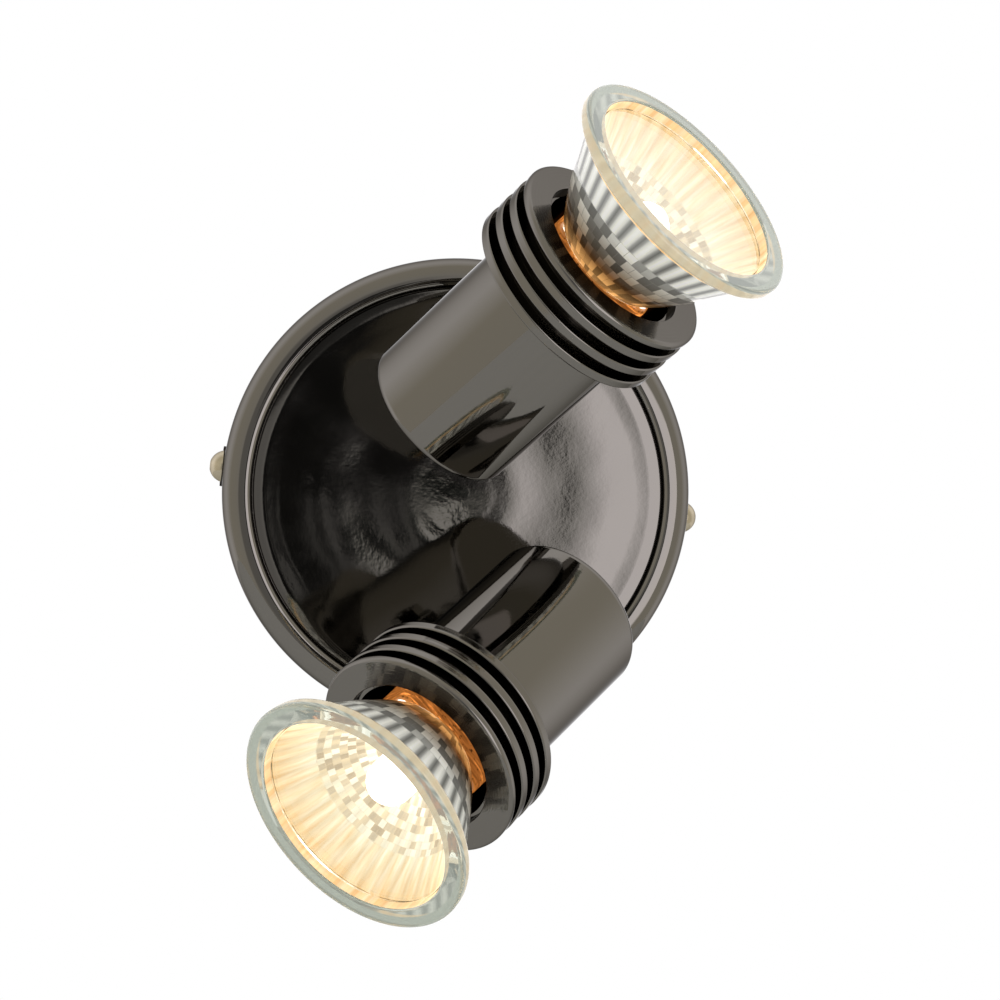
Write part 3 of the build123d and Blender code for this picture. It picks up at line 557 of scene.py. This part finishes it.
class SPOT_OT_base_plate(Operator):
    """Spin the pressed plate with its rolled rim, crease and rippled face"""
    bl_idname = "spot.base_plate"
    bl_label = "Base plate"

    def execute(self, context):
        size = context.scene.spot_plate
        bm = bmesh.new()
        outer = self.skin(size, 0.0)
        inner = self.skin(size, size.sheet)
        section(bm, outer + inner[::-1])
        turn(bm, steps=288)
        piece("round_plate", bm, PLATE_PLACE, "base", ["base_plate"],
              [black_chrome("black_chrome_plate")])
        return {"FINISHED"}

    @staticmethod
    def skin(size, inset):
        """The section's points from the centre to the wall, at one depth in the sheet."""
        crest = size.face + size.rise
        crest_radius = size.rim - size.bead
        bead_height = crest - size.bead
        bend = size.crease / 2 + inset
        bend_centre = crest_radius - size.lip - size.crease / 2
        shoulder = size.shoulder - inset
        face = size.face - inset
        lean = degrees(asin((bend_centre - bend - size.flat) / shoulder))
        skirt = size.skirt - inset
        fold = size.fold - inset
        count = 82
        calm, centre_fade, edge_fade = 8 * MM, 6 * MM, 3 * MM
        points = []
        for i in range(count + 1):
            radius = size.flat * i / count
            fade = max(0.0, min(1.0, (size.flat - radius) / edge_fade, (radius - calm) / centre_fade))
            wave = sin(2 * pi * (radius - size.ripple_start) / size.ripple_pitch)
            lift = 0.0 if inset else size.ripple * fade * wave
            points.append((radius, face + lift))
        points += arc((size.flat, face - shoulder), shoulder, 90, 90 - lean, 8)[1:]
        points += arc((bend_centre, size.face - size.crease_depth), bend, 180, 360, 10)
        points += arc((crest_radius, crest - size.lip), size.lip - inset, 180, 90, 10)
        points += arc((crest_radius, bead_height), size.bead - inset, 90, 0, 30)[1:]
        points += arc((size.rim - size.fold, bead_height), fold, 0, -90, 10)[1:]
        return points + [(skirt, bead_height - fold), (skirt, 0.0)]


class SPOT_OT_side_screws(Operator):
    """Domed side screws and their dished washers"""
    bl_idname = "spot.side_screws"
    bl_label = "Side screws"

    def execute(self, context):
        low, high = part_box("side_screws")
        skirt = context.scene.spot_plate.skirt
        bright = context.scene.spot_colours.nickel
        nickel = metal("bright_nickel_plate", bright, grain=3.0, rough=0.14, own=True)
        steel = metal("black_oxide_steel", linear("#3A3734"), grain=0.6, rough=0.32, own=True)
        for name, corners, slot, node, finish in (
            ("domed_side_screws", self.dome(skirt), "nickel", "side_screws", nickel),
            ("dished_side_washers", self.cup(skirt), "dark_steel", "side_washers", steel),
        ):
            bm = bmesh.new()
            section(bm, corners)
            turn(bm, steps=48)
            bmesh.ops.rotate(bm, cent=(0, 0, 0), matrix=Matrix.Rotation(pi / 2, 3, "Y"), verts=bm.verts[:])
            twin = new_verts(bmesh.ops.duplicate(bm, geom=bm.verts[:] + bm.edges[:] + bm.faces[:]))
            bmesh.ops.rotate(bm, cent=(0, 0, 0), matrix=Matrix.Rotation(pi, 3, "Y"), verts=twin)
            bmesh.ops.translate(bm, vec=(0, (low.y + high.y) / 2, 0), verts=bm.verts[:])
            piece(name, bm, Matrix.Identity(4), "base", [node], [finish])
        return {"FINISHED"}

    @staticmethod
    def dome(skirt):
        """Section of a domed screw in its cup, with a shallow dimple, its shank running inwards."""
        seat, head, wall, height, shank = skirt + 0.6 * MM, 3.4 * MM, 0.9 * MM, 2.9 * MM, 1.95 * MM
        top, end = seat + wall + height, seat - 8.6 * MM
        radius = (head ** 2 + height ** 2) / (2 * height)
        start = degrees(asin((radius - height) / radius))
        dimple = [(0.0, top - 0.5 * MM), (0.7 * MM, top - 0.45 * MM)]
        crown = arc((0.0, top - radius), radius, 74, start, 12)
        return dimple + crown + [(head, seat), (shank, seat), (shank, end), (0.0, end)]

    @staticmethod
    def cup(skirt):
        """Section of the cup washer under the head."""
        bore, flat, seat_edge, rim, broken = 2.2 * MM, 3.2 * MM, 3.4 * MM, 4.3 * MM, 0.1 * MM
        seat, low, high = skirt + 0.6 * MM, skirt + 1.2 * MM, skirt + 1.8 * MM
        return [(bore, skirt), (flat, skirt), (rim, low, broken), (rim, high, broken), (seat_edge, seat),
                (bore, seat), (bore, skirt)]


class SPOT_OT_stems(Operator):
    """Stems with their collar, threaded nipple and half-lap tongue"""
    bl_idname = "spot.stems"
    bl_label = "Stems"

    def execute(self, context):
        head = context.scene.spot_head
        bore, root, crest, collar, step = 2.5 * MM, 4.55 * MM, 4.95 * MM, 6.5 * MM, 2.5 * MM
        foot, pitch, top = -6.6 * MM, 1.0 * MM, head.pivot - 7.0 * MM
        thread = []
        for i in range(6):
            thread += [(root, foot + i * pitch), (crest, foot + (i + 0.5) * pitch)]
        for spot in SPOTS:
            bm = bmesh.new()
            section(bm, [(bore, foot)] + thread + [
                (crest, 0.0), (collar, 0.0), (collar, step, 0.9 * MM), (head.rod, step, 0.4 * MM),
                (head.rod, top, 0.3 * MM), (bore, top), (bore, foot)])
            turn(bm, steps=96)
            self.tongue(bm, head.rod, head.pivot)
            piece(spot + "_swivel_stem", bm, stem_place(spot), spot + "_stem_group",
                  [spot + "_stem"], [black_chrome("black_chrome_plate")])
        return {"FINISHED"}

    @staticmethod
    def tongue(bm, radius, pivot):
        """Flat half-lap tongue with a round end, its edges broken."""
        near, far, low = -0.5 * MM, -5.25 * MM, pivot - 7.6 * MM
        outline = [(radius, low)] + arc((0.0, pivot), radius, 0, 180, 24) + [(-radius, low)]
        slab(bm, [(x, near, z) for x, z in outline], (0, far - near, 0), lambda spot: spot.z > low - 1e-6)


class SPOT_OT_lugs(Operator):
    """Lugs that carry the heads, round-ended, with a turned neck and a flange on the cylinder"""
    bl_idname = "spot.lugs"
    bl_label = "Knuckle lugs"

    def execute(self, context):
        head = context.scene.spot_head
        stud, neck, flange = 2.95 * MM, 4.0 * MM, 5.0 * MM
        foot, shoulder = head.body - 3.5 * MM, head.body - 1.0 * MM
        saddle, seat, top = head.body - 0.9 * MM, head.body + 1.6 * MM, head.reach - 5.6 * MM
        for spot in SPOTS:
            bm = bmesh.new()
            section(bm, [(0.0, foot), (stud, foot), (stud, shoulder), (flange, saddle),
                         (flange, seat, 0.5 * MM), (neck, seat, 0.5 * MM), (neck, top, 0.3 * MM), (0.0, top)])
            turn(bm, steps=72)
            bmesh.ops.rotate(bm, cent=(0, 0, 0), matrix=Matrix.Rotation(pi / 2, 3, "X"), verts=bm.verts[:])
            self.eye(bm, head.reach, head.rod, neck)
            piece(spot + "_head_lug", bm, lug_place(spot), spot + "_head_group",
                  [spot + "_knuckle_lug"], [black_chrome("black_chrome_plate")])
        return {"FINISHED"}

    @staticmethod
    def eye(bm, reach, radius, neck):
        """Flat eye on the pivot with a short web up to the neck."""
        near, far, web = -2.25 * MM, 2.25 * MM, 6.2 * MM - reach
        start = degrees(asin(neck / radius))
        outline = [(web, neck)] + arc((-reach, 0.0), radius, start, 360 - start, 28) + [(web, -neck)]
        slab(bm, [(near, y, z) for y, z in outline], (far - near, 0, 0), lambda spot: spot.y < web + 0.1 * MM)


class SPOT_OT_heads(Operator):
    """Plain cylinders, closed at the rear"""
    bl_idname = "spot.heads"
    bl_label = "Head bodies"

    def execute(self, context):
        head = context.scene.spot_head
        inside, floor = head.body - head.wall, head.wall - head.rear
        for spot in SPOTS:
            bm = bmesh.new()
            section(bm, [(0.0, -head.rear), (head.body, -head.rear, head.rear_edge), (head.body, head.front),
                         (inside, head.front), (inside, floor, 0.8 * MM), (0.0, floor)])
            turn(bm, steps=192)
            piece(spot + "_cylinder", bm, head_place(spot), spot + "_head_group",
                  [spot + "_head_body"], [black_chrome("black_chrome_plate")])
        return {"FINISHED"}


class SPOT_OT_rings(Operator):
    """Finned rings on the front of the cylinders"""
    bl_idname = "spot.rings"
    bl_label = "Finned rings"

    def execute(self, context):
        head = context.scene.spot_head
        sharp, broken, crown = 0.2 * MM, 0.35 * MM, 0.75 * MM
        front, seat = head.front + head.lip, head.body + 0.03 * MM
        corners = [(head.opening, front, sharp), (head.ring, front, crown)]
        back = front - head.front_fin
        for fin in range(head.fins - 1):
            groove = back - head.gap
            corners += [(head.ring, back, broken), (head.floor, back), (head.floor, groove),
                        (head.ring, groove, broken)]
            back = groove - head.fin
        corners += [(head.ring, back, broken), (seat, back, sharp), (seat, head.front),
                    (head.opening, head.front)]
        for spot in SPOTS:
            bm = bmesh.new()
            section(bm, corners, closed=True)
            turn(bm, steps=224)
            piece(spot + "_finned_ring", bm, head_place(spot), spot + "_head_group",
                  [spot + "_front_ring"], [black_chrome("black_chrome_turned", turned=0.03 * MM)])
        return {"FINISHED"}


class SPOT_OT_lamps(Operator):
    """Reflector lamps: pressed glass, faceted mirror, neck, cover, capsule"""
    bl_idname = "spot.lamps"
    bl_label = "Lamps"

    def execute(self, context):
        lamp = context.scene.spot_lamp
        tint = context.scene.spot_colours.glass
        clear = pressed_glass("pressed_soda_glass", tint, clear=1.0)
        flange = pressed_glass("pressed_glass_flange", linear("#BCC4B8"), clear=0.5)
        float_glass = pressed_glass("float_glass_cover", tint, clear=1.0)
        quartz = hot("quartz_capsule_lit", "#FFF6E4", strength=6.0, edge="#FFF0D2")
        bowl = [clear, flange, mirror_back(), painted_glow_mirror(), amber_neck()]
        for spot in SPOTS:
            for name, bm, slot, nodes, materials, crease in (
                ("glass", self.glass(lamp), "lamp_glass", ["reflector"], bowl, 30),
                ("mirror", self.mirror(lamp), "lamp_glass", [], [painted_glow_mirror()], 0),
                ("neck", self.neck(lamp), "lamp_glass", [], [amber_neck(), painted_glow_mirror()], 30),
                ("cover_glass", self.cover(lamp), "cover_glass", ["cover"], [float_glass], 30),
                ("bulb", self.capsule(lamp), "quartz", ["capsule", "filament"], [quartz], 30),
            ):
                lamp_name = spot + "_lamp_"
                piece(lamp_name + name, bm, head_place(spot), lamp_name + "group",
                      [lamp_name + node for node in nodes], materials, crease)
        return {"FINISHED"}

    @staticmethod
    def bowl(lamp):
        """Points of the mirror's bowl from mouth to throat: a parabola, flutes first, then rows of facets."""
        shares = [lamp.flutes + (1 - lamp.flutes) * i / lamp.rows for i in range(lamp.rows + 1)]
        points = []
        for share in [0.0] + shares:
            radius = sqrt(lamp.mirror ** 2 + (lamp.throat ** 2 - lamp.mirror ** 2) * share)
            depth = lamp.step + (lamp.foot - lamp.step) * share
            points.append((radius, lamp.rim - depth))
        return points

    def glass(self, lamp):
        """The clear glass outside the mirror, with its thick flange."""
        bm = bmesh.new()
        back, seat, foot = lamp.rim - lamp.flange, lamp.rim - lamp.step, lamp.rim - lamp.foot
        edge, lip, gap = 0.9 * MM, 0.5 * MM, 0.45 * MM
        rim = [(lamp.mouth, lamp.rim, lip), (lamp.radius, lamp.rim, edge), (lamp.radius, back, edge)]
        outside = [(23.0, lamp.flange / MM), (20.3, 7.5), (17.3, 13.2), (14.4, 17.9), (12.4, 20.7)]
        wall = [(radius * MM, lamp.rim - depth * MM) for radius, depth in outside]
        inner = [(radius + gap, height) for radius, height in self.bowl(lamp)]
        end = [(lamp.foot_radius + 0.2 * MM, foot, edge), (inner[-1][0], foot)]
        section(bm, rim + wall + end + inner[-2::-1] + [(lamp.mouth, seat)], closed=True)
        turn(bm, steps=180)
        # Slots: flange glass, the mirror coating in painted light, the mouth's step with the mirror's painted
        # glow, the neck's painted glow.
        flange, coating, lit, neck = 1, 2, 3, 4
        hair = 0.01 * MM
        for face in bm.faces:
            middle = face.calc_center_median()
            inwards = face.normal.dot(Vector((middle.x, middle.y, 0.0))) < 0
            if inwards and middle.z < seat:
                face.material_index = coating
            elif middle.to_2d().length < lamp.mouth + hair and middle.z > seat - hair:
                face.material_index = lit
            elif middle.z < foot + 0.1 * MM:
                face.material_index = neck
            elif middle.z > back - 0.3 * MM:
                face.material_index = flange
        return bm

    def mirror(self, lamp):
        """Faceted shell with a painted glow inside, every facet set at its own slight tilt."""
        random.seed(7)
        bm = bmesh.new()
        small, tilt = 3 * MM, 0.2 * MM
        lip = (lamp.mirror + 0.43 * MM, lamp.rim - lamp.step - 0.02 * MM)
        section(bm, [lip] + self.bowl(lamp))
        turn(bm, lamp.columns)
        column = 2 * pi / lamp.columns

        def order(face):
            """A facet's column and height: the mesh's own order of facets changes from run to run."""
            middle = face.calc_center_median()
            return floor(atan2(middle.y, middle.x) / column), middle.z

        grown = bmesh.ops.extrude_discrete_faces(bm, faces=bm.faces[:])
        for face in sorted(grown["faces"], key=order):
            middle = face.calc_center_median()
            axis = Vector((random.uniform(-1, 1), random.uniform(-1, 1), random.uniform(-1, 1)))
            reach = max((vert.co - middle).length for vert in face.verts)
            lean = random.uniform(-tilt, tilt) / reach if reach < small else 0.0
            bmesh.ops.rotate(bm, cent=middle, matrix=Matrix.Rotation(lean, 3, axis), verts=face.verts[:])
        return bm

    @staticmethod
    def neck(lamp):
        """Flat glass neck with rounded corners that holds the pins; a painted glow where it closes the bowl's
        throat.
        """
        bm = bmesh.new()
        bmesh.ops.create_cube(bm, size=1.0)
        width, thick, corner, edge = 23.2 * MM, 15.0 * MM, 3.0 * MM, 0.9 * MM
        top, end = lamp.foot - 1.2 * MM, lamp.base
        bmesh.ops.scale(bm, vec=(width, thick, end - top), verts=bm.verts[:])
        bmesh.ops.translate(bm, vec=(0, 0, lamp.rim - (top + end) / 2), verts=bm.verts[:])
        for offset, segments, standing in ((corner, 6, True), (edge, 4, False)):
            edges = [item for item in bm.edges
                     if (abs(item.verts[0].co.z - item.verts[1].co.z) > 5 * MM) == standing]
            bmesh.ops.bevel(bm, geom=edges, offset=offset, offset_type="OFFSET", affect="EDGES",
                            segments=segments, profile=0.5, material=-1)
        bm.normal_update()
        for face in bm.faces:
            if face.normal.z > 0.9:
                face.material_index = 1
        return bm

    @staticmethod
    def cover(lamp):
        """Flat cover glass with ground edges."""
        bm = bmesh.new()
        radius, low = 20.4 * MM, lamp.rim - lamp.step
        high = low + 1.9 * MM
        section(bm, [(0.0, low), (radius, low, 0.25 * MM), (radius, high, 0.45 * MM), (0.0, high)])
        turn(bm, steps=144)
        return bm

    @staticmethod
    def capsule(lamp):
        """Domed quartz capsule with its pinched foot."""
        bm = bmesh.new()
        radius, pinch = 4.6 * MM, 2.6 * MM
        tip, shoulder, waist, end = [lamp.rim - depth * MM for depth in (8.5, 32, 33.5, 38)]
        section(bm, arc((0.0, tip - radius), radius, 90, 0, 10)
                + [(radius, shoulder, 1.2 * MM), (pinch, waist), (pinch, end), (0.0, end)])
        turn(bm, steps=64)
        return bm


class SPOT_OT_fittings(Operator):
    """Finish the hidden fittings that keep their machined shape"""
    bl_idname = "spot.fittings"
    bl_label = "Fittings"

    def execute(self, context):
        colours = context.scene.spot_colours
        # Zinc plate is a cool satin grey, brass a warm one, nickel paler and clean, oxide nearly black.
        # Polyamide is milky and fibre dull red-brown, and glazed porcelain has a glossy cream skin.
        zinc = metal("zinc_plated_steel", colours.zinc, grain=2.2, rough=0.34)
        brass = metal("turned_brass", linear("#C79A4B"), grain=1.2, rough=0.28)
        nickel = metal("nickel_plated_brass", colours.nickel, grain=0.9, rough=0.24)
        oxide = metal("black_oxide_spring_steel", linear("#3A3734"), grain=0.7, rough=0.36)
        polyamide = moulded("moulded_polyamide", "#E9E6DC", "#DAD5C6", grain=1.6, rough=0.42)
        fibre = moulded("vulcanised_fibre", "#8A4A35", "#6A3324", grain=0.7, rough=0.7)
        porcelain = moulded("glazed_porcelain", "#EFEBDF", "#E2DCCB", grain=3.0, rough=0.22)
        chrome = black_chrome("black_chrome_small", own=False)
        finish = {
            "mounting_strap": zinc, "terminal_block": polyamide, "terminal_sleeves": brass,
            "terminal_screws": zinc, "terminal_fixing_screw": zinc, "earth_screw": brass,
            "earth_washer": brass,
        }
        for spot in SPOTS:
            for node, material in (
                ("stem_washer", fibre), ("stem_spring_washer", zinc), ("stem_nut", zinc),
                ("knuckle_washer", fibre), ("tilt_screw", chrome), ("tilt_spring_washer", oxide),
                ("tilt_nut", chrome), ("lug_nut", zinc), ("lampholder", porcelain),
                ("lampholder_contacts", brass), ("holder_bracket", zinc), ("holder_screws", zinc),
                ("lamp_pins", nickel),
            ):
                finish[spot + "_" + node] = material
        for node, material in finish.items():
            slots = frame["nodes"][node].data.materials
            if slots:
                slots[0] = material
            else:
                slots.append(material)
        return {"FINISHED"}


class SPOT_OT_stage(Operator):
    """Floor, studio light and the camera at the photo's angle"""
    bl_idname = "spot.stage"
    bl_label = "Stage"

    def execute(self, context):
        self.floor(context)
        self.studio(context)
        self.camera(context)
        context.scene.view_settings.view_transform = "Standard"
        return {"FINISHED"}

    @staticmethod
    def floor(context):
        """A round sheet of matt paper well below the spotlight."""
        radius, drop = 0.5, 0.25
        bm = bmesh.new()
        bmesh.ops.create_circle(bm, cap_ends=True, segments=96, radius=radius)
        bmesh.ops.translate(bm, vec=(0, 0, -drop), verts=bm.verts[:])
        mesh = bpy.data.meshes.new("floor")
        bm.to_mesh(mesh)
        bm.free()
        mesh.materials.append(moulded("matt_paper", "#F2F2F0", "#EEEEEC", grain=40.0, rough=0.9))
        obj = bpy.data.objects.new("floor", mesh)
        context.scene.collection.objects.link(obj)

    @staticmethod
    def studio(context):
        """A white tent for the camera, glass and light; what polished metal mirrors has a dark camera side
        with a soft box beside it and three leaning strips of dim light below."""
        world = bpy.data.worlds.new("studio")
        context.scene.world = world
        world.use_nodes = True
        tree = world.node_tree
        tree.nodes.clear()
        parts = add(tree, "SeparateXYZ", None, {"Vector": add(tree, "TexCoord").outputs["Generated"]})
        ahead = add(tree, "Math", {"operation": "MULTIPLY", 1: -1.0}, {0: parts.outputs["Y"]})
        near = add(tree, "Math", {"operation": "MAXIMUM", 1: 0.001}, {0: ahead})
        across = add(tree, "Math", {"operation": "DIVIDE"}, {0: parts.outputs["X"], 1: near})
        above = add(tree, "Math", {"operation": "DIVIDE"}, {0: parts.outputs["Z"], 1: near})
        below = add(tree, "Math", {"operation": "MULTIPLY", 1: -1.0}, {0: parts.outputs["Z"]})
        under = add(tree, "Math", {"operation": "MAXIMUM", 1: 0.001}, {0: below})
        slope = add(tree, "Math", {"operation": "DIVIDE"}, {0: ahead, 1: under})

        def band(source, start, end, soft, inside, outside):
            """One level between two limits and another outside them, with soft edges."""
            rise, fall = [
                add(tree, "MapRange", {"interpolation_type": "SMOOTHSTEP", "From Min": limit - edge,
                                       "From Max": limit + edge}, {"Value": source})
                for limit, edge in ((start, soft), (end, -soft))
            ]
            both = add(tree, "Math", {"operation": "MULTIPLY"}, {0: rise, 1: fall})
            return add(tree, "MapRange", {"To Min": outside, "To Max": inside}, {"Value": both})

        def patch(wide, high, inside, outside):
            """The same over a patch of the studio, from its limits across and up."""
            both = add(tree, "Math", {"operation": "MULTIPLY"},
                       {0: band(across, *wide, 1.0, 0.0), 1: band(above, *high, 1.0, 0.0)})
            return add(tree, "MapRange", {"To Min": outside, "To Max": inside}, {"Value": both})

        level = band(slope, 0.2, 0.235, 0.01, 0.4, 1.0)
        far_seam = band(slope, 0.32, 0.335, 0.006, 0.7, 1.0)
        camera_side = patch((-0.015, 0.106, 0.005), (-0.13, 0.06, 0.03), 0.03, 1.0)
        upper_side = patch((-0.2, 0.04, 0.02), (0.05, 0.24, 0.02), 0.15, 1.0)
        left_side = patch((-0.65, 0.0, 0.1), (-0.5, 0.45, 0.15), 0.55, 1.0)
        for shade in (far_seam, camera_side, upper_side, left_side):
            level = add(tree, "Math", {"operation": "MULTIPLY"}, {0: level, 1: shade})
        leaning = add(tree, "Math", {"operation": "MULTIPLY_ADD", 1: 0.27}, {0: above, 2: across})
        low_part = band(above, -0.12, -0.031, 0.003, 1.0, 0.0)
        for start, end, strength in ((0.032, 0.038, 0.35), (0.0515, 0.062, 0.35), (0.077, 0.088, 1.3)):
            strip = add(tree, "Math", {"operation": "MULTIPLY"},
                        {0: band(leaning, start, end, 0.0015, strength, 0.0), 1: low_part})
            level = add(tree, "Math", {"operation": "MAXIMUM"}, {0: level, 1: strip})
        turned = add(tree, "MapRange", {"From Min": -1.0}, {"Value": ahead})
        cloth = add(tree, "ValToRGB",
                    {"stops": [(0.0, (1.5, 1.47, 1.5)), (0.35, (1.4, 1.37, 1.38)), (0.5, (1.1, 1.06, 1.0)),
                               (0.6, (0.88, 0.83, 0.72)), (0.85, (0.84, 0.8, 0.71)),
                               (1.0, (0.78, 0.77, 0.76))]},
                    {"Fac": turned})
        walls = add(tree, "Background", None, {"Color": cloth, "Strength": level})
        rising = add(tree, "MapRange", {"From Min": 0.106, "From Max": 0.15, "To Min": 0.05, "To Max": 1.8},
                     {"Value": across})
        soft_box = add(tree, "Math", {"operation": "MULTIPLY"},
                       {0: patch((0.106, 1.1, 0.005), (-0.45, 0.4, 0.1), 1.0, 0.0), 1: rising})
        lamp_box = add(tree, "Background", {"Color": opaque("#FBF6FF")}, {"Strength": soft_box})
        mirrored = add(tree, "AddShader", None, {0: walls, 1: lamp_box})
        path = add(tree, "LightPath")
        bare = add(tree, "Math", {"operation": "SUBTRACT", "use_clamp": True},
                   {0: path.outputs["Is Glossy Ray"], 1: path.outputs["Is Transmission Ray"]})
        tent = add(tree, "Background", {"Color": opaque("#FFFFFF"), "Strength": 1.0})
        room = add(tree, "MixShader", None, {0: bare, 1: tent, 2: mirrored})
        add(tree, "OutputWorld", None, {"Surface": room})

    @staticmethod
    def camera(context):
        """Lens, aim and place fitted to the photo, which looks almost straight at the wall."""
        data = bpy.data.cameras.new("camera")
        data.sensor_width = 36.0
        data.lens = 125.9
        data.clip_start = 0.01
        obj = bpy.data.objects.new("camera", data)
        right = Vector((0.98821, -0.10318, 0.11313))
        up = Vector((-0.10944, 0.04077, 0.99316))
        place = Vector((-0.07062, -0.75851, 0.02118))
        obj.matrix_world = upright(right, up, right.cross(up), place)
        context.scene.collection.objects.link(obj)
        context.scene.camera = obj


class SPOT_PT_panel(Panel):
    """Every step of the spotlight, in order"""
    bl_label = "Twin wall spotlight"
    bl_idname = "SPOT_PT_panel"
    bl_space_type = "VIEW_3D"
    bl_region_type = "UI"
    bl_category = "Spotlight"

    def draw(self, context):
        for operator in STEPS:
            self.layout.operator(operator.bl_idname)


STEPS = (SPOT_OT_base_plate, SPOT_OT_side_screws, SPOT_OT_stems, SPOT_OT_lugs, SPOT_OT_heads, SPOT_OT_rings,
         SPOT_OT_lamps, SPOT_OT_fittings, SPOT_OT_stage)
GROUPS = {"spot_plate": SPOT_PlateSizes, "spot_head": SPOT_HeadSizes, "spot_lamp": SPOT_LampSizes,
          "spot_colours": SPOT_Colours}


def register():
    for item in tuple(GROUPS.values()) + STEPS + (SPOT_PT_panel,):
        bpy.utils.register_class(item)
    for name, group in GROUPS.items():
        setattr(bpy.types.Scene, name, PointerProperty(type=group))


def unregister():
    for name in GROUPS:
        delattr(bpy.types.Scene, name)
    for item in (SPOT_PT_panel,) + STEPS + tuple(GROUPS.values()):
        bpy.utils.unregister_class(item)


def main():
    register()
    for operator in STEPS:
        group, name = operator.bl_idname.split(".")
        getattr(getattr(bpy.ops, group), name)()


if __name__ == "__main__":
    main()
